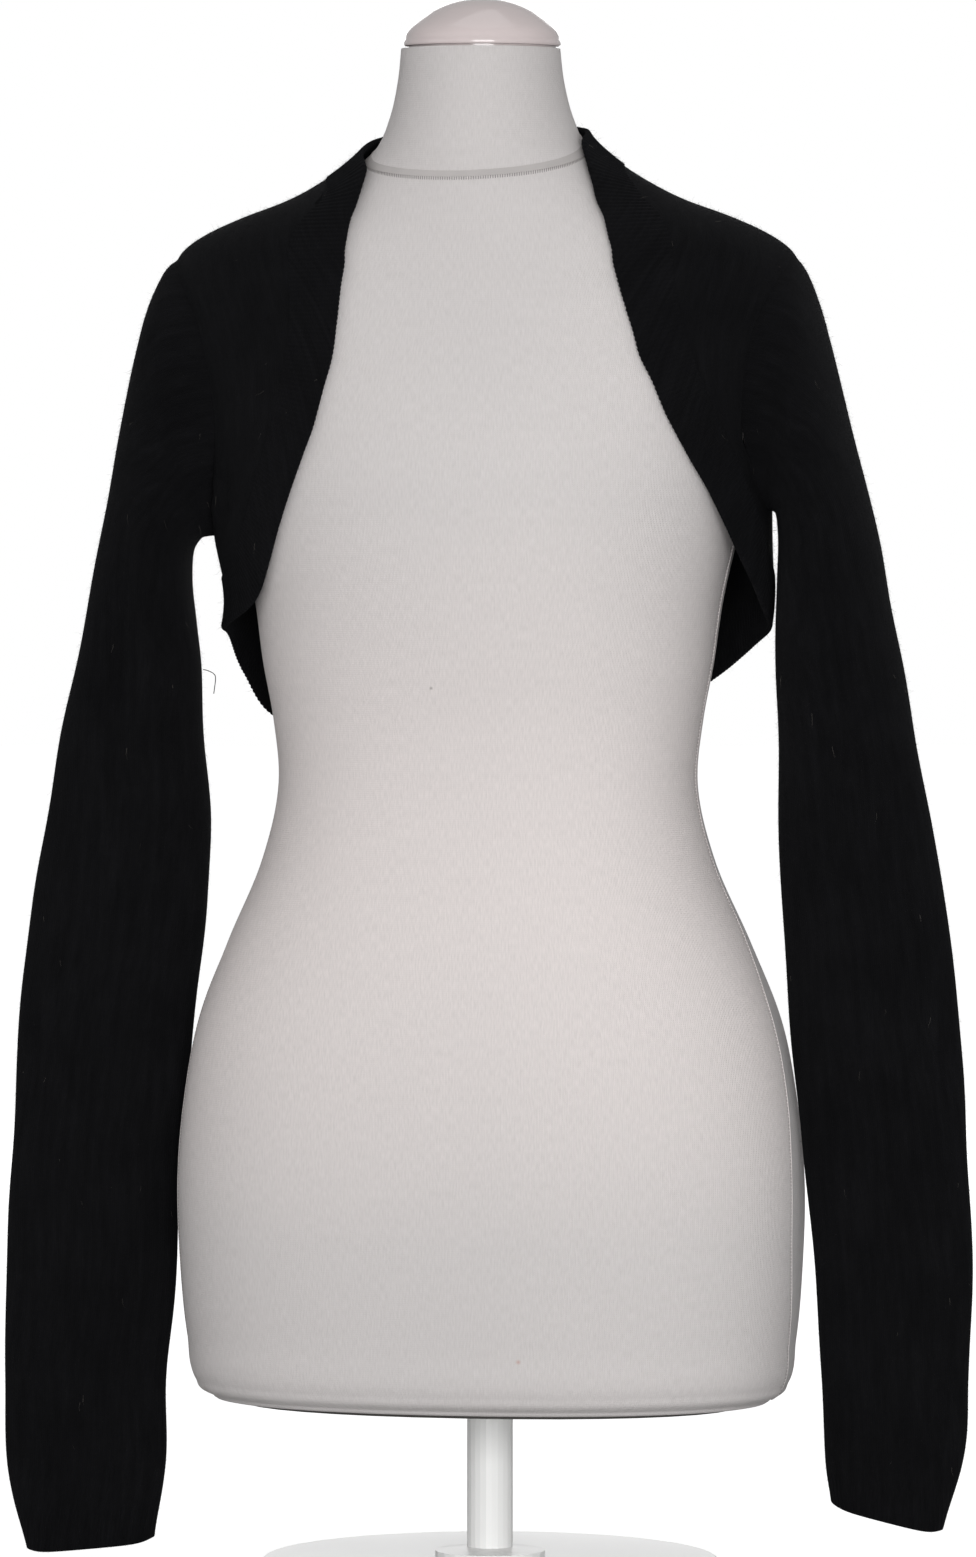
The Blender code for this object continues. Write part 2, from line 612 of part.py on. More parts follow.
def trough_depth(troughs, phase, points):
    """How far each point of a ring is pushed in along y by the sleeve's troughs."""
    across = signed_power(np.cos(phase), 2 / SLEEVE_FULLNESS)
    push = np.zeros(len(points))
    for front, centre, top, foot, half_width, depth in troughs:
        middle, reach = (top + foot) / 2, (top - foot) / 2
        upright = np.clip(1 - ((points[:, 2] - middle) / reach) ** 2, 0, 1) ** 1.5
        sideways = np.exp(-((across - centre) / half_width) ** 2)
        facing = np.clip(np.sin(phase) * (1 if front else -1), 0, 1) ** 0.5
        push += (1 if front else -1) * depth * upright * sideways * facing
    return push


def build_sleeve(name, rows, troughs, hole, finish, side):
    """One sleeve, from the armhole to the open cuff."""
    phase = sleeve_phases()
    hole_points, hole_outward, hole_shift = hole
    rings = [hole_points + hole_shift]
    for ring in sleeve_rings(rows, phase, hole_points):
        ring[:, 1] += trough_depth(troughs, phase, ring)
        rings.append(ring * (side, 1, 1))
    middle = np.stack(rings)
    around = np.roll(middle, -1, axis=1) - np.roll(middle, 1, axis=1)
    down = np.gradient(middle, axis=0)
    outward = unit(np.cross(around, down)) * side
    outward[0] = hole_outward
    return cloth_wall(name, middle - outward * WALL / 2, middle + outward * WALL / 2, finish, True)


def build_form(cloth_cover, plastic, board):
    """The torso with its neck, the cap on it and the board under it."""
    turns = np.linspace(0, 2 * math.pi, FORM_SIDES, endpoint=False)
    heights = [row[0] for row in FORM_SECTIONS]
    heights[-1] = NECK_TOP
    solid_of_rings("torso", [form_skin(turns, height) for height in heights], cloth_cover)
    neck = form_skin(turns, NECK_TOP)
    centre = neck.mean(axis=0) + (CAP_SHIFT, 0, 0)
    neck = neck + (CAP_SHIFT, 0, 0)
    cap_profile = (
        # share of the neck's width, height above the neck
        (0.970, 0.0003), (0.990, 0.0008), (0.995, 0.0022), (0.975, 0.0038), (0.970, 0.0062),
        (0.892, 0.0104), (0.754, 0.0148), (0.582, 0.0190), (0.385, 0.0220), (0.178, 0.0236),
    )
    rings = [centre + (neck - centre) * share + (0, 0, rise) for share, rise in cap_profile]
    solid_of_rings("neck_cap", rings, plastic)
    foot = form_skin(turns, FORM_SECTIONS[0][0])
    middle = foot.mean(axis=0)
    inset = middle + (foot - middle) * (1 - BOARD_INSET / 0.15)
    top = inset - (0, 0, SEAM)
    solid_of_rings("base_board", [top - (0, 0, BOARD_THICKNESS), top], board)


def turned(name, profile, sides, finish):
    """A round piece on the Z axis from rows of radius and height, foot first."""
    turns = np.linspace(0, 2 * math.pi, sides, endpoint=False)
    rings = [np.column_stack([radius * np.cos(turns), radius * np.sin(turns), np.full(sides, height)])
             for radius, height in profile]
    return solid_of_rings(name, rings, finish)


def build_stand(painted):
    """The short pole and the round plate, from the floor to the board."""
    bevel = 0.0015
    turned("stand_plate", ((PLATE_RADIUS - bevel, 0), (PLATE_RADIUS, bevel),
                           (PLATE_RADIUS, PLATE_THICKNESS - bevel),
                           (PLATE_RADIUS - bevel, PLATE_THICKNESS)), 48, painted)
    foot = PLATE_THICKNESS + SEAM
    head = FORM_SECTIONS[0][0] - BOARD_THICKNESS - 2 * SEAM
    turned("stand_pole", ((FLANGE_RADIUS, foot), (FLANGE_RADIUS, foot + FLANGE_THICKNESS),
                          (POLE_RADIUS, foot + FLANGE_THICKNESS + 0.002),
                          (POLE_RADIUS, head - FLANGE_THICKNESS - 0.002),
                          (FLANGE_RADIUS, head - FLANGE_THICKNESS), (FLANGE_RADIUS, head)), 24, painted)


def build_cardigan(knit, rib):
    """The back, the fronts, the sleeves and the band."""
    edge, seam = stations()
    left_hole = armhole_seam(SLEEVE_LEFT, 1)
    right_hole = armhole_seam(SLEEVE_RIGHT, -1)
    build_front("left_front", seam, left_hole, knit, 1)
    build_front("right_front", seam, right_hole, knit, -1)
    build_back("back", seam, left_hole, right_hole, knit)
    build_band("rib_band", edge, seam, rib)
    build_sleeve("left_sleeve", SLEEVE_LEFT, SLEEVE_TROUGHS_LEFT, left_hole, knit, 1)
    build_sleeve("right_sleeve", SLEEVE_RIGHT, SLEEVE_TROUGHS_RIGHT, right_hole, knit, -1)


def main():
    """Clear the scene and build every piece."""
    for leftover in list(bpy.data.objects):
        bpy.data.objects.remove(leftover, do_unlink=True)
    knit = material("black_knit", (0.010, 0.010, 0.011), 0.95)
    rib = material("black_rib", (0.011, 0.011, 0.012), 0.95)
    jersey = material("pale_jersey", (0.66, 0.64, 0.62), 0.90)
    plastic = material("pale_plastic", (0.74, 0.66, 0.66), 0.30)
    board = material("dark_board", (0.05, 0.05, 0.05), 0.70)
    painted = material("white_paint", (0.80, 0.79, 0.77), 0.40)
    build_form(jersey, plastic, board)
    build_stand(painted)
    build_cardigan(knit, rib)


main()
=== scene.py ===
"""Black open-front bolero in fine brushed knit, resting on a pale dress form: the visual model.

Metres, +Z up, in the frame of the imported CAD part. The form faces -Y. A place on the form or
the cloth is given by its turn (0 at the front, 90 degrees at the wearer's left, 180 at the
back) and its height. Each piece is a class with its sizes as fields.
"""

import logging
import math
from collections.abc import Callable
from dataclasses import dataclass, field
from enum import Enum

import bmesh
import bpy
import numpy as np
from mathutils import Euler, Matrix


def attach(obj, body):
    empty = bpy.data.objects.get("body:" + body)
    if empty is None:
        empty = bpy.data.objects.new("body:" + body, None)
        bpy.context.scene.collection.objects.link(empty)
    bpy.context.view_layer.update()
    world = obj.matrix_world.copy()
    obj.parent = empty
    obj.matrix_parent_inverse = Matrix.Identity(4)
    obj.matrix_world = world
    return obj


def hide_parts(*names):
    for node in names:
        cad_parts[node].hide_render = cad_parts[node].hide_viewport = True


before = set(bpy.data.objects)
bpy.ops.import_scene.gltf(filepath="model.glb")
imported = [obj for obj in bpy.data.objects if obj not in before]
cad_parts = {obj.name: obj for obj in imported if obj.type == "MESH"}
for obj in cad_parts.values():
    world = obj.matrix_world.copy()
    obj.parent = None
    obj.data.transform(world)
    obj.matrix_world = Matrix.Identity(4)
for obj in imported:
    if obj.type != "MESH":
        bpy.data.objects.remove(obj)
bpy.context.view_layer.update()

logging.basicConfig(level=logging.INFO, format="%(message)s")
LOG = logging.getLogger("cardigan")

# what an input of a node can be given
Value = bpy.types.NodeSocket | float | str | tuple

BODY = "root"
WALL = 0.002          # thickness of the brushed knit
BAND_WALL = 0.0026    # thickness of the ribbed band
BAND_WIDTH = 0.025


class Side(Enum):
    """The wearer's side, as the sign of its x."""

    LEFT = 1
    RIGHT = -1

    @property
    def label(self) -> str:
        """The side's name in small letters."""
        return self.name.lower()


# Shapes of the form and the cloth


def smooth_rows(table: np.ndarray, at: np.ndarray) -> np.ndarray:
    """Read a table's columns at given values of its first one, on smooth curves.

    Args:
        table: Rows whose first column rises.
        at: Values of the first column.

    Returns:
        The other columns at those values.
    """
    rows = np.array(table, float)
    knots, values = rows[:, 0], rows[:, 1:]
    slopes = np.gradient(values, knots, axis=0)
    at = np.clip(np.asarray(at, float), knots[0], knots[-1])
    low = np.clip(np.searchsorted(knots, at) - 1, 0, len(knots) - 2)
    span = (knots[low + 1] - knots[low])[..., None]
    part = (at - knots[low])[..., None] / span
    start = values[low] * (1 + 2 * part) + slopes[low] * part * span
    end = values[low + 1] * (3 - 2 * part) + slopes[low + 1] * (part - 1) * span
    return start * (1 - part) ** 2 + end * part ** 2


def signed_power(value: np.ndarray, power: np.ndarray | float) -> np.ndarray:
    """Raise sizes to a power and keep their signs."""
    return np.sign(value) * np.abs(value) ** power


def unit(vectors: np.ndarray) -> np.ndarray:
    """Vectors of length one."""
    return vectors / np.maximum(np.linalg.norm(vectors, axis=-1, keepdims=True), 1e-12)


def smooth_step(value: np.ndarray, low: float, high: float) -> np.ndarray:
    """Rise softly from 0 at low to 1 at high."""
    part = np.clip((value - low) / (high - low), 0, 1)
    return part * part * (3 - 2 * part)


def mirrored(chart: np.ndarray) -> np.ndarray:
    """The same turns and heights on the other side."""
    return chart * (-1, 1) + (2 * math.pi, 0)


@dataclass
class FormShape:
    """The dress form's skin as level sections.

    half_width runs across, side_y places the widest points, front and back are the depths from
    there, and fullness is 2 for an ellipse and more for a fuller section.
    """

    sections: tuple[tuple[float, ...], ...] = (
        # height  half_width  side_y  front   back  fullness
        (0.0965, 0.1530, 0.004, 0.0940, 0.0970, 2.20),
        (0.0990, 0.1585, 0.004, 0.0985, 0.1015, 2.20),
        (0.1050, 0.1625, 0.004, 0.1020, 0.1050, 2.20),
        (0.1280, 0.1666, 0.004, 0.1050, 0.1080, 2.20),
        (0.1710, 0.1704, 0.003, 0.1080, 0.1130, 2.20),
        (0.2150, 0.1714, 0.002, 0.1090, 0.1165, 2.20),
        (0.2580, 0.1675, 0.001, 0.1080, 0.1165, 2.20),
        (0.3020, 0.1590, 0.000, 0.1050, 0.1100, 2.20),
        (0.3450, 0.1424, -0.003, 0.0980, 0.0970, 2.20),
        (0.3890, 0.1234, -0.005, 0.0890, 0.0850, 2.20),
        (0.4320, 0.1141, -0.006, 0.0840, 0.0785, 2.20),
        (0.4650, 0.1170, -0.005, 0.0870, 0.0790, 2.20),
        (0.4970, 0.1228, -0.004, 0.0950, 0.0830, 2.20),
        (0.5300, 0.1273, -0.002, 0.1050, 0.0890, 2.20),
        (0.5630, 0.1345, 0.000, 0.1130, 0.0960, 2.20),
        (0.5960, 0.1415, 0.002, 0.1170, 0.1020, 2.20),
        (0.6250, 0.1480, 0.003, 0.1140, 0.1040, 2.20),
        (0.6530, 0.1565, 0.003, 0.1060, 0.1030, 2.20),
        (0.6810, 0.1640, 0.003, 0.0960, 0.1000, 2.15),
        (0.6985, 0.1665, 0.002, 0.0900, 0.0960, 2.05),
        (0.7090, 0.1645, 0.001, 0.0855, 0.0920, 1.95),
        (0.7168, 0.1590, 0.000, 0.0825, 0.0885, 1.90),
        (0.7233, 0.1490, -0.002, 0.0795, 0.0855, 1.85),
        (0.7322, 0.1290, -0.005, 0.0755, 0.0820, 1.80),
        (0.7402, 0.1070, -0.009, 0.0715, 0.0770, 1.80),
        (0.7520, 0.0840, -0.015, 0.0655, 0.0700, 1.85),
        (0.7636, 0.0675, -0.020, 0.0605, 0.0640, 1.90),
        (0.7745, 0.0568, -0.024, 0.0570, 0.0595, 1.95),
        (0.7900, 0.0495, -0.026, 0.0530, 0.0550, 2.00),
        (0.8080, 0.0450, -0.028, 0.0490, 0.0510, 2.00),
        (0.8308, 0.0424, -0.029, 0.0460, 0.0480, 2.00),
    )

    def skin(self, turn: np.ndarray, height: np.ndarray, fuller: np.ndarray | float = 0.0) -> np.ndarray:
        """Points on the skin.

        Args:
            turn: Turns in radians.
            height: Heights in metres.
            fuller: Added to the fullness behind.

        Returns:
            Points with the shape of the inputs and a last axis of x, y, z.
        """
        turn, height = np.broadcast_arrays(turn, height)
        half_width, side_y, front, back, fullness = np.moveaxis(smooth_rows(self.sections, height), -1, 0)
        facing = np.cos(turn) > 0
        power = 2 / np.where(facing, fullness, fullness + fuller)
        across = signed_power(np.sin(turn), power)
        along = signed_power(np.cos(turn), power)
        return np.stack([half_width * across, side_y - np.where(facing, front, back) * along, height], -1)


def surface_normal(surface: Callable[[np.ndarray, np.ndarray], np.ndarray], turn: np.ndarray,
                   height: np.ndarray) -> np.ndarray:
    """The outward direction of a surface that is a function of turn and height.

    Args:
        surface: Function of turn and height that returns points.
        turn: Turns in radians.
        height: Heights in metres.

    Returns:
        Unit vectors.
    """
    small_turn, small_height = 1e-3, 1e-4
    around = surface(turn + small_turn, height) - surface(turn - small_turn, height)
    upward = surface(turn, height + small_height) - surface(turn, height - small_height)
    return unit(np.cross(around, upward))


@dataclass
class ClothShape:
    """The middle of the body cloth: on the form, with slack at the sides and behind."""

    form: FormShape = field(default_factory=FormShape)
    front_snug: float = 10.0    # in front the slack gathers near the side
    back_snug: float = 1.4      # behind it spreads across the back
    rest: tuple[tuple[float, ...], ...] = (
        # height  cover   left    right   behind  fuller
        (0.4300, 0.0026, 0.0350, 0.0300, 0.0210, 0.50),
        (0.4650, 0.0026, 0.0315, 0.0285, 0.0200, 0.50),
        (0.4970, 0.0026, 0.0245, 0.0230, 0.0165, 0.45),
        (0.5300, 0.0026, 0.0233, 0.0140, 0.0115, 0.35),
        (0.5670, 0.0026, 0.0145, 0.0125, 0.0040, 0.20),
        (0.6100, 0.0027, 0.0055, 0.0055, 0.0005, 0.05),
        (0.6500, 0.0028, 0.0010, 0.0010, 0.0000, 0.00),
        (0.6900, 0.0034, 0.0000, 0.0030, 0.0000, 0.00),
        (0.7150, 0.0046, 0.0000, 0.0050, 0.0000, 0.00),
        (0.7500, 0.0052, 0.0000, 0.0010, 0.0000, 0.00),
        (0.7650, 0.0051, 0.0000, 0.0000, 0.0000, 0.00),
        (0.7800, 0.0040, 0.0000, 0.0000, 0.0000, 0.00),
        (0.8000, 0.0032, 0.0000, 0.0000, 0.0000, 0.00),
    )

    def middle(self, turn: np.ndarray, height: np.ndarray) -> np.ndarray:
        """Points halfway through the cloth.

        Args:
            turn: Turns in radians.
            height: Heights in metres.

        Returns:
            Points with a last axis of x, y, z.
        """
        turn, height = np.broadcast_arrays(np.asarray(turn, float), np.asarray(height, float))
        cover, left, right, behind, fuller = np.moveaxis(smooth_rows(self.rest, height), -1, 0)
        lifted = (self.form.skin(turn, height, fuller)
                  + surface_normal(self.form.skin, turn, height) * cover[..., None])
        across, along = np.sin(turn), -np.cos(turn)
        snug = np.where(along < 0, self.front_snug, self.back_snug)
        slack_x = np.where(across > 0, left, right) * signed_power(across, snug)
        slack_y = behind * np.maximum(along, 0) ** 1.2
        return lifted + np.stack([slack_x, slack_y, np.zeros_like(slack_x)], -1)

    def outward(self, turn: np.ndarray, height: np.ndarray) -> np.ndarray:
        """The cloth's outward direction."""
        return surface_normal(self.middle, turn, height)


@dataclass
class Opening:
    """The one long edge that runs round neck, fronts and hem, and the band's seam inside it."""

    cloth: ClothShape
    fine: int = 360             # steps to each half of the opening
    left_edge: tuple[tuple[float, float], ...] = (
        # turn  height, from the back neck over the shoulder and down to the back hem
        (180, 0.7870), (150, 0.7862), (120, 0.7832), (95, 0.7800), (74, 0.7745), (60.6, 0.7634),
        (51.4, 0.7530), (41.8, 0.7400), (33.7, 0.7260), (30.2, 0.7130), (29.6, 0.6990), (30.8, 0.6860),
        (32.8, 0.6730), (35.2, 0.6605), (39, 0.6485), (42.4, 0.6375), (46.0, 0.6272), (54.0, 0.6073),
        (61.5, 0.5905), (69.3, 0.5700), (78.0, 0.5450), (86.5, 0.5250), (98, 0.5165), (115, 0.5070),
        (135, 0.4870), (158, 0.4620), (180, 0.4520),
    )
    right_edge: tuple[tuple[float, float], ...] = (
        # turn  height
        (180, 0.7870), (150, 0.7848), (120, 0.7805), (95, 0.7750), (72, 0.7682), (52, 0.7612),
        (44, 0.7530), (37.9, 0.7430), (31.9, 0.7330), (27.2, 0.7230), (24.3, 0.7120), (22.9, 0.6990),
        (22.6, 0.6860), (23, 0.6700), (24, 0.6575), (25.9, 0.6453), (28.2, 0.6320), (30.7, 0.6194),
        (36.7, 0.5965), (43.9, 0.5730), (51.9, 0.5500), (61.5, 0.5310), (77, 0.5190), (95, 0.5110),
        (108, 0.4900), (121, 0.4660), (148, 0.4540), (180, 0.4520),
    )

    def half_edge(self, rows: tuple[tuple[float, float], ...]) -> np.ndarray:
        """Turn and height at even steps down one half of the edge.

        Args:
            rows: Turns in degrees and heights.

        Returns:
            The chart of one half, fine + 1 points.
        """
        knots = np.array(rows, float)
        knots[:, 0] = np.radians(knots[:, 0])
        spots = np.linspace(0, len(knots) - 1, 40 * len(knots))
        chart = smooth_rows(np.column_stack([np.arange(len(knots)), knots]), spots)
        places = self.cloth.middle(chart[:, 0], chart[:, 1])
        length = np.concatenate([[0], np.cumsum(np.linalg.norm(np.diff(places, axis=0), axis=1))])
        even = np.linspace(0, length[-1], self.fine + 1)
        return np.column_stack([np.interp(even, length, column) for column in chart.T])

    def edge(self) -> np.ndarray:
        """The whole free edge as a closed chart."""
        left, right = self.half_edge(self.left_edge), mirrored(self.half_edge(self.right_edge))
        return np.concatenate([left[:-1], right[:0:-1]])

    def inset(self, chart: np.ndarray, distance: float, steps: int = 7) -> np.ndarray:
        """Move a closed chart away from the opening.

        Args:
            chart: Closed loop of turns and heights.
            distance: How far, on the cloth.
            steps: How many moves it is split into.

        Returns:
            The moved chart.
        """
        small = 1e-4
        for _ in range(steps):
            turn, height = chart[:, 0], chart[:, 1]
            place = self.cloth.middle(turn, height)
            around = (self.cloth.middle(turn + small, height) - place) / small
            upward = (self.cloth.middle(turn, height + small) - place) / small
            tangent = unit(np.roll(place, -1, axis=0) - np.roll(place, 1, axis=0))
            move = np.cross(self.cloth.outward(turn, height), tangent) * distance / steps
            metric = np.stack([
                np.stack([(around * around).sum(1), (around * upward).sum(1)], -1),
                np.stack([(around * upward).sum(1), (upward * upward).sum(1)], -1),
            ], 1)
            wanted = np.stack([(move * around).sum(1), (move * upward).sum(1)], -1)
            change = np.linalg.solve(metric, wanted[..., None])[..., 0]
            chart = chart + self.evened(change, 6)
        return self.evened(chart, 230)

    @staticmethod
    def evened(values: np.ndarray, passes: int) -> np.ndarray:
        """Average a closed loop of rows with its neighbours, a number of times."""
        for _ in range(passes):
            values = (np.roll(values, 1, axis=0) + 2 * values + np.roll(values, -1, axis=0)) / 4
        return values


@dataclass(frozen=True)
class Crease:
    """A soft trough, or a ridge where depth is negative, between two places seen from the front.

    It lies on the side of the cloth that faces the front, or the back where front is False.
    """

    start: tuple[float, float]    # x and z
    end: tuple[float, float]
    width: float
    depth: float
    front: bool = True

    def relief(self, points: np.ndarray, outward: np.ndarray) -> np.ndarray:
        """How far each point is pushed in.

        Args:
            points: Points of the cloth.
            outward: Their outward directions.

        Returns:
            One depth for each point.
        """
        flat = points[..., (0, 2)]
        start, run = np.array(self.start), np.array(self.end) - np.array(self.start)
        part = ((flat - start) @ run) / (run @ run)
        nearest = start + np.clip(part, 0, 1)[..., None] * run
        away = np.linalg.norm(flat - nearest, axis=-1)
        uneven = 1 + 0.25 * np.sin(17 * part + 40 * self.start[0])
        ends = smooth_step(part, -0.15, 0.3) * smooth_step(-part, -1.15, -0.7)
        facing = np.clip((-outward[..., 1] if self.front else outward[..., 1]) * 3, 0, 1)
        return self.depth * uneven * ends * facing * np.exp(-(away / (self.width * uneven)) ** 2)


# Meshes


def grid_distance(points: np.ndarray, axis: int) -> np.ndarray:
    """The length run along one axis of a grid of points.

    Args:
        points: The grid.
        axis: 0 down the rows, 1 along them.

    Returns:
        The length at each point.
    """
    steps = np.linalg.norm(np.diff(points, axis=axis), axis=-1)
    pad = [(0, 0), (0, 0)]
    pad[axis] = (1, 0)
    return np.pad(np.cumsum(steps, axis=axis), pad)


@dataclass
class Wall:
    """A wall of cloth on a grid of middle points, closed all round and rounded at free edges.

    closed joins each row's end to its start. round_last rounds the last row's edge. The
    outside gets the attribute nap = 1 and the inside 0, and the UV map knit holds metres along
    the rows and down them.
    """

    middle: np.ndarray
    outward: np.ndarray
    thickness: float
    closed: bool
    round_last: bool = False
    marks: dict[str, np.ndarray] = field(default_factory=dict)

    def layers(self) -> tuple[np.ndarray, np.ndarray, dict[str, np.ndarray]]:
        """The rows of points round the wall's section, outside first.

        Returns:
            The points, the nap values and the marks, with one row for each ring.
        """
        half = self.outward * self.thickness / 2
        rows, nap = [self.middle + half], [np.ones(self.middle.shape[:2])]
        names = {name: [values] for name, values in self.marks.items()}
        if self.round_last:
            off = unit(self.middle[-1] - self.middle[-2]) * self.thickness / 2
            for angle in (35, 90, 145):
                turn = math.radians(angle)
                bent = self.middle[-1] + half[-1] * math.cos(turn) + off * math.sin(turn)
                rows.append(bent[None])
                nap.append(np.full((1, bent.shape[0]), 1.0 if angle < 100 else 0.0))
                for name, values in self.marks.items():
                    names[name].append(values[-1:])
        rows.append((self.middle - half)[::-1])
        nap.append(np.zeros(self.middle.shape[:2]))
        for name, values in self.marks.items():
            names[name].append(values[::-1])
        return np.vstack(rows), np.vstack(nap), {name: np.vstack(parts) for name, parts in names.items()}

    def build(self, name: str) -> bpy.types.Object:
        """Make the wall's object.

        Args:
            name: The object's name.

        Returns:
            The object, with smooth faces, its UV map and its attributes.
        """
        points, nap, marks = self.layers()
        rows, columns = points.shape[:2]
        index = np.arange(rows * columns).reshape(rows, columns)
        ring = np.vstack([index, index[:1]])
        ring = np.hstack([ring, ring[:, :1]]) if self.closed else ring
        quads = np.stack([ring[:-1, :-1], ring[:-1, 1:], ring[1:, 1:], ring[1:, :-1]], -1).reshape(-1, 4)
        along, down = grid_distance(points, 1), grid_distance(points, 0)
        along -= along[:, columns // 2, None]
        coords = np.stack([along, down], -1).reshape(-1, 2)
        if self.closed:
            step = np.linalg.norm(points[:, 0] - points[:, -1], axis=-1)
            wrap = np.stack([along[:, -1] + step, down[:, -1]], -1)
        mesh = bpy.data.meshes.new(name)
        faces = [tuple(quad) for quad in quads]
        if not self.closed:
            faces += [tuple(index[::-1, 0]), tuple(index[:, -1])]
        mesh.from_pydata(points.reshape(-1, 3).tolist(), [], faces)
        uv = mesh.uv_layers.new(name="knit")
        corners = np.empty(len(mesh.loops), int)
        mesh.loops.foreach_get("vertex_index", corners)
        values = coords[corners]
        if self.closed:
            last = (np.arange(len(quads)) % columns) == columns - 1
            seam_quads = np.flatnonzero(last)
            row_of = seam_quads // columns
            for corner, row_shift in ((1, 0), (2, 1)):
                values[seam_quads * 4 + corner] = wrap[(row_of + row_shift) % rows]
        uv.uv.foreach_set("vector", values.ravel())
        for mark, data in {"nap": nap, **marks}.items():
            layer = mesh.attributes.new(mark, "FLOAT", "POINT")
            layer.data.foreach_set("value", np.asarray(data, float).ravel())
        mesh.validate()
        return shown(name, mesh)


def shown(name: str, mesh: bpy.types.Mesh) -> bpy.types.Object:
    """An object for a mesh whose faces are turned outwards and smooth.

    Args:
        name: The object's name.
        mesh: Its mesh.

    Returns:
        The linked object.
    """
    data = bmesh.new()
    data.from_mesh(mesh)
    bmesh.ops.recalc_face_normals(data, faces=data.faces)
    data.to_mesh(mesh)
    data.free()
    mesh.shade_smooth()
    mesh.set_sharp_from_angle(angle=math.radians(60))
    body = bpy.data.objects.new(name, mesh)
    bpy.context.scene.collection.objects.link(body)
    return body


def ringed(name: str, rings: list[np.ndarray]) -> bpy.types.Object:
    """A closed solid through rings of points.

    Args:
        name: The object's name.
        rings: Closed rings with the same number of points.

    Returns:
        The object.
    """
    count = len(rings[0])
    index = np.arange(len(rings) * count).reshape(len(rings), count)
    ring = np.hstack([index, index[:, :1]])
    quads = np.stack([ring[:-1, :-1], ring[:-1, 1:], ring[1:, 1:], ring[1:, :-1]], -1).reshape(-1, 4)
    mesh = bpy.data.meshes.new(name)
    faces = [tuple(quad) for quad in quads] + [tuple(index[0]), tuple(index[-1])]
    mesh.from_pydata(np.vstack(rings).tolist(), [], faces)
    return shown(name, mesh)


def tube(name: str, path: np.ndarray, radius: float, sides: int = 6) -> bpy.types.Object:
    """A round thread along a path.

    Args:
        name: The object's name.
        path: Points along the thread.
        radius: The thread's radius.
        sides: Sides of its section.

    Returns:
        The object.
    """
    way = unit(np.gradient(path, axis=0))
    helper = np.where(np.abs(way[:, 2:]) > 0.9, (1.0, 0.0, 0.0), (0.0, 0.0, 1.0))
    one = unit(np.cross(way, helper))
    two = np.cross(way, one)
    angles = np.linspace(0, 2 * math.pi, sides, endpoint=False)
    rings = [path[k] + radius * (np.cos(angles)[:, None] * one[k] + np.sin(angles)[:, None] * two[k])
             for k in range(len(path))]
    return ringed(name, rings)


# Node trees and materials


class Graph:
    """Short calls for building one node tree."""

    def __init__(self, tree: bpy.types.NodeTree) -> None:
        """Keep the tree."""
        self.tree = tree

    def node(self, kind: str, inputs: dict[str | int, Value] | None = None,
             **settings: Value | bpy.types.ID) -> bpy.types.Node:
        """Add a node.

        Args:
            kind: Blender's name of the node's type.
            inputs: Values or sockets by the input's name or number.
            settings: Properties of the node.

        Returns:
            The node.
        """
        made = self.tree.nodes.new(kind)
        for name, value in settings.items():
            setattr(made, name, value)
        self.fill(made, inputs or {})
        return made

    def feed(self, socket: bpy.types.NodeSocket, value: Value) -> None:
        """Link a socket, or set its value.

        Args:
            socket: The input.
            value: A socket to link or a plain value.
        """
        if isinstance(value, bpy.types.NodeSocket):
            self.tree.links.new(value, socket)
        else:
            socket.default_value = value

    def fill(self, node: bpy.types.Node, values: dict[str | int, Value]) -> None:
        """Link or set several inputs of a node."""
        for name, value in values.items():
            self.feed(node.inputs[name], value)

    def math(self, operation: str, first: Value, second: Value | None = None,
             third: Value | None = None) -> bpy.types.NodeSocket:
        """Add a Math node.

        Args:
            operation: The node's operation.
            first: First value or socket.
            second: Second one.
            third: Third one.

        Returns:
            The node's output.
        """
        values = {k: v for k, v in enumerate((first, second, third)) if v is not None}
        return self.node("ShaderNodeMath", values, operation=operation).outputs[0]

    def vector(self, operation: str, first: Value, second: Value | None = None,
               scale: Value | None = None) -> bpy.types.NodeSocket:
        """Add a Vector Math node.

        Args:
            operation: The node's operation.
            first: First vector or socket.
            second: Second one.
            scale: Number or socket that the first is scaled by.

        Returns:
            The node's output.
        """
        values = {k: v for k, v in {0: first, 1: second, "Scale": scale}.items() if v is not None}
        return self.node("ShaderNodeVectorMath", values, operation=operation).outputs[0]

    def mix(self, share: Value, first: Value, second: Value) -> bpy.types.NodeSocket:
        """Mix two colours by a share.

        Args:
            share: 0 for the first colour, 1 for the second.
            first: Colour or socket.
            second: Colour or socket.

        Returns:
            The mixed colour.
        """
        made = self.node("ShaderNodeMix", {0: share, 6: first, 7: second}, data_type="RGBA")
        return made.outputs[2]


def group_tree(name: str, kind: str, sockets: tuple[tuple[str, str, str, object], ...]) -> bpy.types.NodeTree:
    """A node group with named sockets.

    Args:
        name: The group's name.
        kind: ShaderNodeTree or GeometryNodeTree.
        sockets: Name, INPUT or OUTPUT, socket type and default of each socket.

    Returns:
        The tree, still empty.
    """
    tree = bpy.data.node_groups.new(name, kind)
    for label, way, socket_type, default in sockets:
        socket = tree.interface.new_socket(label, in_out=way, socket_type=socket_type)
        if default is not None:
            socket.default_value = default
    return tree


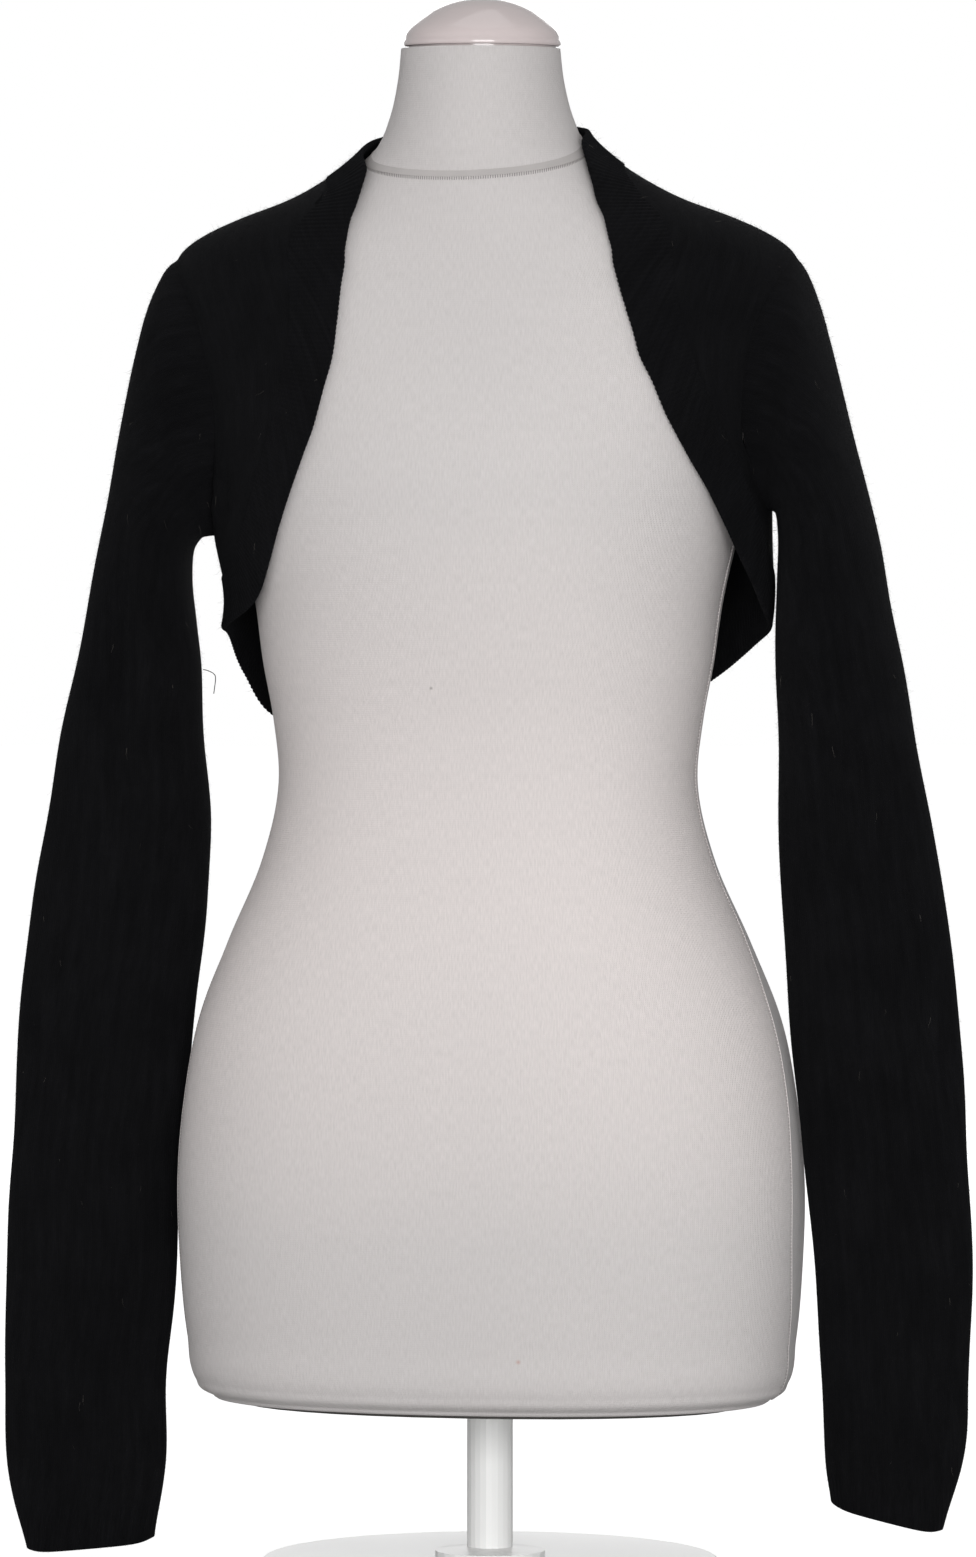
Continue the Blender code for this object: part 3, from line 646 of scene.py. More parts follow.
def stitch_relief_group() -> bpy.types.NodeTree:
    """The relief of stocking stitch: columns of slanting loops, from flat coordinates in metres.

    Returns:
        The tree.
    """
    tree = group_tree("stitch_relief", "ShaderNodeTree", (
        ("Along", "INPUT", "NodeSocketFloat", 0.0),
        ("Down", "INPUT", "NodeSocketFloat", 0.0),
        ("Wale", "INPUT", "NodeSocketFloat", 0.0011),
        ("Course", "INPUT", "NodeSocketFloat", 0.0008),
        ("Height", "OUTPUT", "NodeSocketFloat", None),
    ))
    g = Graph(tree)
    ins = g.node("NodeGroupInput").outputs
    wale = g.math("DIVIDE", ins["Along"], ins["Wale"])
    course = g.math("DIVIDE", ins["Down"], ins["Course"])
    from_middle = g.math("ABSOLUTE", g.math("SUBTRACT", g.math("FRACT", wale), 0.5))
    slanted = g.math("ADD", course, g.math("MULTIPLY", from_middle, 1.6))
    loops = g.math("MULTIPLY_ADD", g.math("SINE", g.math("MULTIPLY", slanted, 2 * math.pi)), 0.3, 0.7)
    rounded = g.math("ABSOLUTE", g.math("SINE", g.math("MULTIPLY", wale, math.pi)))
    height = g.math("MULTIPLY", g.math("POWER", rounded, 0.7), loops)
    out = g.node("NodeGroupOutput")
    g.feed(out.inputs["Height"], height)
    return tree


def soft_mottle_group() -> bpy.types.NodeTree:
    """Soft uneven patches at a coarse and a fine scale.

    Returns:
        The tree.
    """
    tree = group_tree("soft_mottle", "ShaderNodeTree", (
        ("Vector", "INPUT", "NodeSocketVector", None),
        ("Patches", "INPUT", "NodeSocketFloat", 20.0),
        ("Fuzz", "INPUT", "NodeSocketFloat", 900.0),
        ("Patch", "OUTPUT", "NodeSocketFloat", None),
        ("Grain", "OUTPUT", "NodeSocketFloat", None),
    ))
    g = Graph(tree)
    ins = g.node("NodeGroupInput").outputs
    patch = g.node("ShaderNodeTexNoise", {"Vector": ins["Vector"], "Scale": ins["Patches"], "Detail": 3.0})
    grain = g.node("ShaderNodeTexNoise", {"Vector": ins["Vector"], "Scale": ins["Fuzz"], "Detail": 2.0})
    out = g.node("NodeGroupOutput")
    g.feed(out.inputs["Patch"], patch.outputs[0])
    g.feed(out.inputs["Grain"], grain.outputs[0])
    return tree


class Groups:
    """The shared shader groups, each built once."""

    def __init__(self) -> None:
        """Build them."""
        self.stitches = stitch_relief_group()
        self.mottle = soft_mottle_group()


@dataclass(frozen=True)
class KnitFinish:
    """The brushed black knit, with a faint rib where the attribute cuff_rib says so."""

    name: str = "brushed_black_knit"
    colour: tuple[float, float, float] = (0.0018, 0.0018, 0.0021)
    worn: tuple[float, float, float] = (0.0072, 0.0072, 0.0082)
    wale: float = 0.0012
    course: float = 0.0009
    roughness: float = 0.92
    specular: float = 0.05
    sheen: float = 0.014
    sheen_roughness: float = 0.55
    sheen_tint: tuple[float, float, float] = (0.80, 0.82, 0.90)
    relief: float = 0.00022
    rib_pitch: float = 0.0024

    def build(self, groups: Groups) -> bpy.types.Material:
        """Make the material.

        Args:
            groups: The shared shader groups.

        Returns:
            The material.
        """
        material, g, shader = new_material(self.name)
        uv = g.node("ShaderNodeUVMap", uv_map="knit").outputs[0]
        flat = g.node("ShaderNodeSeparateXYZ", {0: uv}).outputs
        stitches = g.node("ShaderNodeGroup", node_tree=groups.stitches)
        g.fill(stitches, {"Along": flat[0], "Down": flat[1], "Wale": self.wale, "Course": self.course})
        mottle = g.node("ShaderNodeGroup", node_tree=groups.mottle)
        g.feed(mottle.inputs["Vector"], g.node("ShaderNodeTexCoord").outputs["Object"])
        g.feed(mottle.inputs["Patches"], 28.0)
        rib_mask = g.node("ShaderNodeAttribute", attribute_name="cuff_rib").outputs["Fac"]
        rib = g.math("SINE", g.math("MULTIPLY", flat[0], 2 * math.pi / self.rib_pitch))
        ribbed = g.math("MULTIPLY", rib, g.math("MULTIPLY", rib_mask, 1.4))
        height = g.math("ADD", g.math("ADD", stitches.outputs[0], ribbed),
                        g.math("MULTIPLY", mottle.outputs["Grain"], 1.5))
        bump = g.node("ShaderNodeBump", {"Height": height, "Distance": self.relief, "Strength": 0.9})
        # the brushing draws the nap out in fine upright streaks
        drawn = g.node("ShaderNodeCombineXYZ", {0: flat[0], 1: g.math("MULTIPLY", flat[1], 0.10)}).outputs[0]
        streaks = g.node("ShaderNodeGroup", node_tree=groups.mottle)
        g.fill(streaks, {"Vector": drawn, "Patches": 230.0, "Fuzz": 900.0})
        grain = g.math("MULTIPLY_ADD", streaks.outputs["Grain"], 1.2, 0.3)
        streak = g.math("MULTIPLY", streaks.outputs["Patch"], grain)
        light = g.math("MULTIPLY", streak, g.math("MULTIPLY_ADD", mottle.outputs["Patch"], 1.3, 0.25))
        colour = g.mix(light, (*self.colour, 1), (*self.worn, 1))
        g.fill(shader, {
            "Base Color": colour, "Normal": bump.outputs[0], "Roughness": self.roughness,
            "Specular IOR Level": self.specular, "Sheen Weight": self.sheen,
            "Sheen Roughness": self.sheen_roughness, "Sheen Tint": (*self.sheen_tint, 1)})
        return material


@dataclass(frozen=True)
class FibreFinish:
    """Loose fibres of one colour."""

    name: str
    colour: tuple[float, float, float]
    roughness: float = 0.7
    specular: float = 0.2

    def build(self, groups: Groups) -> bpy.types.Material:
        """Make the material.

        Args:
            groups: The shared shader groups.

        Returns:
            The material.
        """
        material, g, shader = new_material(self.name)
        mottle = g.node("ShaderNodeGroup", node_tree=groups.mottle)
        g.feed(mottle.inputs["Vector"], g.node("ShaderNodeTexCoord").outputs["Object"])
        darker = tuple(0.55 * part for part in self.colour)
        g.feed(shader.inputs["Base Color"], g.mix(mottle.outputs["Patch"], (*darker, 1), (*self.colour, 1)))
        shader.inputs["Roughness"].default_value = self.roughness
        shader.inputs["Specular IOR Level"].default_value = self.specular
        return material


@dataclass(frozen=True)
class JerseyFinish:
    """The form's pale stretched jersey: fine upright lines with painted shade in their hollows, a faint
    pinkish mottle, a paler pinkish band of painted light round the waist, and two small marks.

    The attribute past_seam holds degrees behind the side seam, where painted shade starts: darker jersey on
    the sides that turn away from the light.
    """

    name: str = "stretched_pale_jersey"
    colour: tuple[float, float, float] = (0.640, 0.612, 0.607)
    # paler pinkish tone: a faint pinkish tint, and painted lighter to stand for the light on the waist
    pink: tuple[float, float, float] = (0.770, 0.712, 0.698)
    pink_height: float = 0.385    # where the paler pinkish tone, painted light on the waist, is strongest
    pink_reach: float = 0.20
    # painted shade: darker jersey past the side seams, where the form turns away from the light
    side_panel: tuple[float, float, float] = (0.540, 0.520, 0.518)
    # painted shade in the hollows between the wales
    valley: tuple[float, float, float] = (0.380, 0.358, 0.350)
    lines: float = 860.0          # wales round the form
    course: float = 0.0011
    roughness: float = 0.85
    specular: float = 0.25
    sheen: float = 0.05
    mark_strength: float = 0.8
    # x, z, radius and colour of each small mark on the front
    marks: tuple[tuple, ...] = (
        ("red_speck", 0.0328, 0.1250, 0.0016, (0.50, 0.30, 0.26)),
        ("dark_speck", -0.0151, 0.4843, 0.0011, (0.22, 0.20, 0.19)),
    )

    def build(self, groups: Groups) -> bpy.types.Material:
        """Make the material.

        Args:
            groups: The shared shader groups.

        Returns:
            The material.
        """
        material, g, shader = new_material(self.name)
        place = g.node("ShaderNodeTexCoord").outputs["Object"]
        x, y, z = g.node("ShaderNodeSeparateXYZ", {0: place}).outputs
        turn = g.math("ARCTAN2", x, g.math("MULTIPLY", y, -1.0))
        stitches = g.node("ShaderNodeGroup", node_tree=groups.stitches)
        g.fill(stitches, {"Along": turn, "Down": z, "Wale": 2 * math.pi / self.lines, "Course": self.course})
        mottle = g.node("ShaderNodeGroup", node_tree=groups.mottle)
        g.feed(mottle.inputs["Vector"], place)
        g.feed(mottle.inputs["Patches"], 9.0)
        height = g.math("ADD", stitches.outputs[0], g.math("MULTIPLY", mottle.outputs["Grain"], 0.7))
        bump = g.node("ShaderNodeBump", {"Height": height, "Distance": 0.00020, "Strength": 0.8})
        # the painted shade in the hollows between the wales varies in fine upright streaks, as the wales are
        # stretched unevenly
        drawn = g.node("ShaderNodeCombineXYZ", {
            0: g.math("MULTIPLY", turn, 0.15), 1: g.math("MULTIPLY", z, 0.22)}).outputs[0]
        streaks = g.node("ShaderNodeGroup", node_tree=groups.mottle)
        g.fill(streaks, {"Vector": drawn, "Patches": 900.0, "Fuzz": 1500.0})
        # a paler pinkish band round the waist: painted light where the light falls brightest, with a faint
        # pinkish tint; the mottle adds random patches of it
        from_waist = g.math("DIVIDE", g.math("SUBTRACT", z, self.pink_height), self.pink_reach)
        tone = g.math("MAXIMUM", g.math("SUBTRACT", 1.0, g.math("MULTIPLY", from_waist, from_waist)), 0.0)
        tone = g.math("MULTIPLY_ADD", tone, 0.85, -0.05)
        tone = g.math("MULTIPLY_ADD", mottle.outputs["Patch"], 0.25, tone)
        base = g.mix(tone, (*self.colour, 1), (*self.pink, 1))
        # painted shade past the side seams, fading in below 0.43 m
        past = g.node("ShaderNodeAttribute", attribute_name="past_seam").outputs["Fac"]
        beside = g.node("ShaderNodeMapRange", {0: past, 1: 0.0, 2: 0.5}).outputs[0]
        below = g.node("ShaderNodeMapRange", {0: z, 1: 0.43, 2: 0.40}).outputs[0]
        base = g.mix(g.math("MULTIPLY", beside, below), base, (*self.side_panel, 1))
        # painted shade in the hollows between the wales, uneven in fine upright streaks
        uneven = g.math("MULTIPLY_ADD", streaks.outputs["Patch"], 0.6, -0.26)
        valley = g.math("MULTIPLY_ADD", g.math("SUBTRACT", 1.0, stitches.outputs[0]), 0.22, uneven)
        base = g.mix(g.math("MAXIMUM", valley, 0.0), base, (*self.valley, 1))
        for _, mark_x, mark_z, radius, colour in self.marks:
            across = g.math("POWER", g.math("SUBTRACT", x, mark_x), 2.0)
            upward = g.math("POWER", g.math("SUBTRACT", z, mark_z), 2.0)
            away = g.math("SQRT", g.math("ADD", across, upward))
            faded = g.math("SMOOTH_MIN", g.math("DIVIDE", away, radius), 1.0, 0.3)
            strength = g.math("MULTIPLY", self.mark_strength, g.math("SUBTRACT", 1.0, faded))
            near = g.math("MULTIPLY", g.math("LESS_THAN", y, 0.0), strength)
            base = g.mix(g.math("MAXIMUM", near, 0.0), base, (*colour, 1))
        g.fill(shader, {
            "Base Color": base, "Normal": bump.outputs[0], "Roughness": self.roughness,
            "Specular IOR Level": self.specular, "Sheen Weight": self.sheen})
        return material


@dataclass(frozen=True)
class PlainFinish:
    """Plastic, paint or board: one colour with a faint uneven grain in its gloss."""

    name: str
    colour: tuple[float, float, float]
    roughness: float
    coat: float = 0.0
    grain: float = 0.04
    patches: float = 14.0

    def build(self, groups: Groups) -> bpy.types.Material:
        """Make the material.

        Args:
            groups: The shared shader groups.

        Returns:
            The material.
        """
        material, g, shader = new_material(self.name)
        mottle = g.node("ShaderNodeGroup", node_tree=groups.mottle)
        g.feed(mottle.inputs["Vector"], g.node("ShaderNodeTexCoord").outputs["Object"])
        g.feed(mottle.inputs["Patches"], self.patches)
        darker = tuple(0.93 * part for part in self.colour)
        g.feed(shader.inputs["Base Color"], g.mix(mottle.outputs["Patch"], (*darker, 1), (*self.colour, 1)))
        g.feed(shader.inputs["Roughness"],
               g.math("MULTIPLY_ADD", mottle.outputs["Patch"], self.grain, self.roughness - self.grain / 2))
        bump = g.node("ShaderNodeBump", {
            "Height": mottle.outputs["Grain"], "Distance": 0.00002, "Strength": 0.3})
        g.feed(shader.inputs["Normal"], bump.outputs[0])
        shader.inputs["Coat Weight"].default_value = self.coat
        return material


def new_material(name: str) -> tuple[bpy.types.Material, Graph, bpy.types.Node]:
    """A material with its Principled shader.

    Args:
        name: The material's name.

    Returns:
        The material, its graph and the shader node.
    """
    material = bpy.data.materials.new(name)
    material.use_nodes = True
    return material, Graph(material.node_tree), material.node_tree.nodes["Principled BSDF"]


class Finishes:
    """All materials of the model, built once."""

    def __init__(self) -> None:
        """Build them."""
        groups = Groups()
        self.knit = KnitFinish().build(groups)
        self.rib = KnitFinish(
            name="brushed_black_rib", wale=0.0026, course=0.0010, relief=0.00018).build(groups)
        self.nap = FibreFinish("black_fibre", (0.0060, 0.0060, 0.0068), 0.85, 0.05).build(groups)
        self.hair = FibreFinish("pale_fibre", (0.20, 0.185, 0.165)).build(groups)
        self.jersey = JerseyFinish().build(groups)
        self.thread = FibreFinish("grey_seam_thread", (0.33, 0.31, 0.305), 0.8).build(groups)
        self.fold = FibreFinish("grey_seam_fold", (0.56, 0.53, 0.52), 0.8).build(groups)
        self.plastic = PlainFinish("pale_gloss_plastic", (0.625, 0.545, 0.54), 0.16, coat=0.5).build(groups)
        self.board = PlainFinish("dark_board", (0.06, 0.055, 0.05), 0.65, grain=0.1).build(groups)
        self.paint = PlainFinish("white_satin_paint", (0.90, 0.90, 0.89), 0.38, coat=0.1).build(groups)


# Geometry node tools


def fibre_tree() -> bpy.types.NodeTree:
    """Fibres scattered over the outside of a piece of cloth, leaning over and partly drawn downwards.

    Returns:
        The tree.
    """
    tree = group_tree("scattered_fibres", "GeometryNodeTree", (
        ("Geometry", "INPUT", "NodeSocketGeometry", None),
        ("Fibre", "INPUT", "NodeSocketObject", None),
        ("Density", "INPUT", "NodeSocketFloat", 100000.0),
        ("Shortest", "INPUT", "NodeSocketFloat", 0.001),
        ("Longest", "INPUT", "NodeSocketFloat", 0.003),
        ("Thickness", "INPUT", "NodeSocketFloat", 0.0001),
        ("Lean", "INPUT", "NodeSocketFloat", 1.0),
        ("Fall", "INPUT", "NodeSocketFloat", 0.5),
        ("Seed", "INPUT", "NodeSocketInt", 1),
        ("Finish", "INPUT", "NodeSocketMaterial", None),
        ("Geometry", "OUTPUT", "NodeSocketGeometry", None),
    ))
    g = Graph(tree)
    ins = g.node("NodeGroupInput").outputs
    nap = g.node("GeometryNodeInputNamedAttribute", {"Name": "nap"}, data_type="FLOAT").outputs[0]
    points = g.node("GeometryNodeDistributePointsOnFaces", {
        "Mesh": ins["Geometry"], "Density": g.math("MULTIPLY", ins["Density"], nap), "Seed": ins["Seed"]})
    least_lean = g.math("MULTIPLY", ins["Lean"], 0.35)
    length, lean, spin = (
        g.node("FunctionNodeRandomValue", {2: low, 3: high, "Seed": seed}, data_type="FLOAT").outputs[1]
        for low, high, seed in ((ins["Shortest"], ins["Longest"], 3), (least_lean, ins["Lean"], 5),
                                (0.0, 2 * math.pi, 7)))
    anywhere = g.node("FunctionNodeRandomValue", {0: (-1, -1, -1), 1: (1, 1, 1), "Seed": 9},
                      data_type="FLOAT_VECTOR").outputs[0]
    drawn = g.vector("ADD", g.vector("SCALE", anywhere, scale=g.math("SUBTRACT", 1.0, ins["Fall"])),
                     g.vector("SCALE", (0, 0, -1), scale=ins["Fall"]))
    normal = points.outputs["Normal"]
    flat = g.vector("NORMALIZE", g.vector("CROSS_PRODUCT", g.vector("CROSS_PRODUCT", normal, drawn), normal))
    way = g.vector("ADD", g.vector("SCALE", normal, scale=g.math("COSINE", lean)),
                   g.vector("SCALE", flat, scale=g.math("SINE", lean)))
    spun = g.node("ShaderNodeCombineXYZ", {2: spin}).outputs[0]
    spun = g.node("FunctionNodeEulerToRotation", {0: spun}).outputs[0]
    turned = g.node("FunctionNodeAlignRotationToVector", {"Rotation": spun, "Vector": way},
                    axis="Z").outputs[0]
    fibre = g.node("GeometryNodeObjectInfo", {"Object": ins["Fibre"]}).outputs["Geometry"]
    scale = g.node("ShaderNodeCombineXYZ", {0: ins["Thickness"], 1: length, 2: length}).outputs[0]
    placed = g.node("GeometryNodeInstanceOnPoints", {
        "Points": points.outputs["Points"], "Instance": fibre, "Rotation": turned, "Scale": scale})
    real = g.node("GeometryNodeRealizeInstances", {0: placed.outputs[0]})
    dressed = g.node("GeometryNodeSetMaterial", {"Geometry": real.outputs[0], "Material": ins["Finish"]})
    out = g.node("NodeGroupOutput")
    g.feed(out.inputs[0], dressed.outputs[0])
    return tree


def rib_tree() -> bpy.types.NodeTree:
    """Raise ribs on a band from its attribute rib_run, which counts the ribs along it.

    Returns:
        The tree.
    """
    tree = group_tree("raised_ribs", "GeometryNodeTree", (
        ("Geometry", "INPUT", "NodeSocketGeometry", None),
        ("Depth", "INPUT", "NodeSocketFloat", 0.0006),
        ("Finish", "INPUT", "NodeSocketMaterial", None),
        ("Geometry", "OUTPUT", "NodeSocketGeometry", None),
    ))
    g = Graph(tree)
    ins = g.node("NodeGroupInput").outputs
    run = g.node("GeometryNodeInputNamedAttribute", {"Name": "rib_run"}, data_type="FLOAT").outputs[0]
    nap = g.node("GeometryNodeInputNamedAttribute", {"Name": "nap"}, data_type="FLOAT").outputs[0]
    wave = g.math("ABSOLUTE", g.math("COSINE", g.math("MULTIPLY", run, math.pi)))
    height = g.math("MULTIPLY", g.math("SUBTRACT", g.math("POWER", wave, 0.8), 0.6), ins["Depth"])
    height = g.math("MULTIPLY", height, g.math("MULTIPLY_ADD", nap, 0.6, 0.4))
    normal = g.node("GeometryNodeInputNormal").outputs[0]
    offset = g.node("ShaderNodeVectorMath", {0: normal, "Scale": height}, operation="SCALE").outputs[0]
    moved = g.node("GeometryNodeSetPosition", {"Geometry": ins["Geometry"], "Offset": offset})
    real = g.node("GeometryNodeRealizeInstances", {0: moved.outputs[0]})
    dressed = g.node("GeometryNodeSetMaterial", {"Geometry": real.outputs[0], "Material": ins["Finish"]})
    out = g.node("NodeGroupOutput")
    g.feed(out.inputs[0], dressed.outputs[0])
    return tree


def stitch_tree() -> bpy.types.NodeTree:
    """Stitches laid one after another along a path of points.

    Returns:
        The tree.
    """
    tree = group_tree("laid_stitches", "GeometryNodeTree", (
        ("Geometry", "INPUT", "NodeSocketGeometry", None),
        ("Stitch", "INPUT", "NodeSocketObject", None),
        ("Pitch", "INPUT", "NodeSocketFloat", 0.0022),
        ("Upright", "INPUT", "NodeSocketFloat", 0.0),
        ("Finish", "INPUT", "NodeSocketMaterial", None),
        ("Geometry", "OUTPUT", "NodeSocketGeometry", None),
    ))
    g = Graph(tree)
    ins = g.node("NodeGroupInput").outputs
    curve = g.node("GeometryNodeMeshToCurve", {0: ins["Geometry"]}).outputs[0]
    spots = g.node("GeometryNodeCurveToPoints", {"Curve": curve, "Length": ins["Pitch"]}, mode="LENGTH")
    along = g.vector("SCALE", spots.outputs["Tangent"], scale=g.math("SUBTRACT", 1.0, ins["Upright"]))
    way = g.vector("ADD", along, g.vector("SCALE", (0, 0, 1), scale=ins["Upright"]))
    turned = g.node("FunctionNodeAlignRotationToVector", {"Vector": way}, axis="Z").outputs[0]
    stitch = g.node("GeometryNodeObjectInfo", {"Object": ins["Stitch"]}).outputs["Geometry"]
    placed = g.node("GeometryNodeInstanceOnPoints", {
        "Points": spots.outputs["Points"], "Instance": stitch, "Rotation": turned})
    real = g.node("GeometryNodeRealizeInstances", {0: placed.outputs[0]})
    dressed = g.node("GeometryNodeSetMaterial", {"Geometry": real.outputs[0], "Material": ins["Finish"]})
    out = g.node("NodeGroupOutput")
    g.feed(out.inputs[0], dressed.outputs[0])
    return tree


def grown(source: bpy.types.Object, tree: bpy.types.NodeTree, name: str, values: dict) -> bpy.types.Object:
    """Run a geometry node tree on a piece and keep the result as a plain mesh of its own.

    Args:
        source: The piece that the tree starts from, left as it was.
        tree: The tree.
        name: The new object's name.
        values: Values of the tree's inputs by their names.

    Returns:
        The new object.
    """
    modifier = source.modifiers.new("grown", "NODES")
    modifier.node_group = tree
    for item in tree.interface.items_tree:
        if item.item_type == "SOCKET" and item.in_out == "INPUT" and item.name in values:
            modifier[item.identifier] = values[item.name]
    graph = bpy.context.evaluated_depsgraph_get()
    graph.update()
    mesh = bpy.data.meshes.new_from_object(source.evaluated_get(graph))
    source.modifiers.remove(modifier)
    mesh.name = name
    made = bpy.data.objects.new(name, mesh)
    bpy.context.scene.collection.objects.link(made)
    return made


def template(name: str, rings: list[np.ndarray]) -> bpy.types.Object:
    """A small closed shape that is only copied, kept out of the scene.

    Args:
        name: Its name.
        rings: Its rings, from foot to tip.

    Returns:
        The object, not linked to the scene.
    """
    made = ringed(name, rings)
    bpy.context.scene.collection.objects.unlink(made)
    return made


def fibre_template(name: str, levels: tuple[tuple[float, float, float], ...], tip_lean: float,
                   depth: float) -> bpy.types.Object:
    """One fibre of unit length and three sides, thin in x, that ends in a point.

    Args:
        name: Its name.
        levels: Rise, lean and thickness of each ring below the tip.
        tip_lean: The tip's lean.
        depth: Its thickness along y.

    Returns:
        The object, not linked to the scene.
    """
    angles = np.radians((90, 210, 330))
    rings = [np.column_stack([0.5 * thick * np.cos(angles), 0.5 * depth * thick * np.sin(angles) + lean,
                              np.full(3, rise)]) for rise, lean, thick in levels]
    points = np.vstack([*rings, [(0, tip_lean, 1)]])
    top = len(levels) - 1
    faces = [(2, 1, 0)] + [(3 * k + a, 3 * k + (a + 1) % 3, 3 * k + 3 + (a + 1) % 3, 3 * k + 3 + a)
                           for k in range(top) for a in range(3)]
    faces += [(3 * top + a, 3 * top + (a + 1) % 3, len(points) - 1) for a in range(3)]
    mesh = bpy.data.meshes.new(name)
    mesh.from_pydata(points.tolist(), [], faces)
    made = shown(name, mesh)
    bpy.context.scene.collection.objects.unlink(made)
    return made


def stitch_template(name: str, length: float, radius: float) -> bpy.types.Object:
    """One stitch, a short rounded rod along z.

    Args:
        name: Its name.
        length: Its length.
        radius: Its radius.

    Returns:
        The object, not linked to the scene.
    """
    angles = np.linspace(0, 2 * math.pi, 6, endpoint=False)
    rings = [np.column_stack([size * radius * np.cos(angles), size * radius * np.sin(angles),
                              np.full(6, rise * length)])
             for rise, size in ((-0.5, 0.45), (-0.35, 1.0), (0.35, 1.0), (0.5, 0.45))]
    return template(name, rings)


@dataclass(frozen=True)
class FibreKind:
    """One kind of fibre on the cloth: how many there are and how they lie."""

    name: str
    density: float        # fibres to a square metre
    shortest: float
    longest: float
    thickness: float
    lean: float           # largest angle off the cloth's outward direction
    fall: float           # 0 where they lie any way, 1 where all point down


SHORT_NAP = FibreKind("nap", 150000.0, 0.0009, 0.0021, 0.000075, 1.25, 0.45)
LONG_NAP = FibreKind("long_nap", 26000.0, 0.0022, 0.0052, 0.000065, 1.35, 0.30)
STRAY = FibreKind("stray_fibres", 420.0, 0.0012, 0.0075, 0.000085, 1.52, 0.82)


@dataclass
class Fuzz:
    """The nap on one piece of cloth and the paler fibres caught in it."""

    share: float = 1.0          # of the usual number of fibres
    long_share: float = 1.0     # and of the long ones

    def build(self, cloth: bpy.types.Object, tools: "Tools", seed: int) -> list[bpy.types.Object]:
        """Grow each kind of fibre.

        Args:
            cloth: The piece of cloth.
            tools: Trees, templates and finishes.
            seed: Seed of the scatter.

        Returns:
            The new pieces.
        """
        pieces = []
        for number, (kind, share, fibre, finish) in enumerate((
                (SHORT_NAP, self.share, tools.short_fibre, tools.finishes.nap),
                (LONG_NAP, self.long_share, tools.long_fibre, tools.finishes.nap),
                (STRAY, self.share, tools.long_fibre, tools.finishes.hair))):
            piece = grown(cloth, tools.fibres, f"{cloth.name}_{kind.name}", {
                "Fibre": fibre, "Density": kind.density * share, "Shortest": kind.shortest,
                "Longest": kind.longest, "Thickness": kind.thickness, "Lean": kind.lean, "Fall": kind.fall,
                "Seed": seed + 60 * number, "Finish": finish})
            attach(piece, BODY)
            LOG.info("%s: %d triangles", piece.name, triangle_count(piece))
            pieces.append(piece)
        return pieces


class Tools:
    """What several pieces share: trees, templates and finishes."""

    def __init__(self) -> None:
        """Build them."""
        self.finishes = Finishes()
        self.fibres = fibre_tree()
        self.ribs = rib_tree()
        self.stitches = stitch_tree()
        self.short_fibre = fibre_template("short_fibre", ((0.0, 0.0, 1.0),), 0.16, 0.045)
        self.long_fibre = fibre_template("long_fibre", ((0.0, 0.0, 1.0), (0.5, 0.07, 0.85)), 0.32, 0.012)
        self.upright_stitch = stitch_template("upright_stitch", 0.0021, 0.00020)
        self.slant_stitch = stitch_template("slant_stitch", 0.0014, 0.00020)

    def clear(self) -> None:
        """Remove the templates, which are no pieces of the model."""
        for shape in (self.short_fibre, self.long_fibre, self.upright_stitch, self.slant_stitch):
            bpy.data.objects.remove(shape)


def triangle_count(piece: bpy.types.Object) -> int:
    """How many triangles a piece's faces make."""
    return sum(len(face.vertices) - 2 for face in piece.data.polygons)


def placed(piece: bpy.types.Object, material: bpy.types.Material, slot: str, *nodes: str) -> bpy.types.Object:
    """Dress a piece, let it ride on the body and let it stand for its CAD nodes.

    Args:
        piece: The piece.
        material: Its finish.
        slot: The record's material slot; not used.
        nodes: CAD nodes that it replaces.

    Returns:
        The piece.
    """
    piece.data.materials.clear()
    piece.data.materials.append(material)
    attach(piece, BODY)
    if nodes:
        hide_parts(*nodes)
    LOG.info("%s: %d triangles", piece.name, triangle_count(piece))
    return piece


# The garment


@dataclass
class Armhole:
    """The armhole seam, an egg shape in turn and height about the side."""

    cloth: ClothShape
    top: float = 0.7125
    left_foot: float = 0.5800
    right_foot: float = 0.5660
    front_turn: float = 24.0
    back_turn: float = 28.0
    egg: float = 0.45

    def chart(self, phase: np.ndarray, side: Side) -> np.ndarray:
        """Turns and heights round the hole.

        Args:
            phase: 0 at the shoulder, a quarter turn at the front, pi at the underarm.
            side: The wearer's side.

        Returns:
            The chart.
        """
        wide = np.where(np.sin(phase) > 0, self.front_turn, self.back_turn) * (1 + self.egg * np.cos(phase))
        turn = np.radians(90 - wide * np.sin(phase))
        turn = turn if side is Side.LEFT else 2 * math.pi - turn
        foot = self.left_foot if side is Side.LEFT else self.right_foot
        middle, reach = (self.top + foot) / 2, (self.top - foot) / 2
        return np.column_stack([turn, middle + reach * np.cos(phase)])


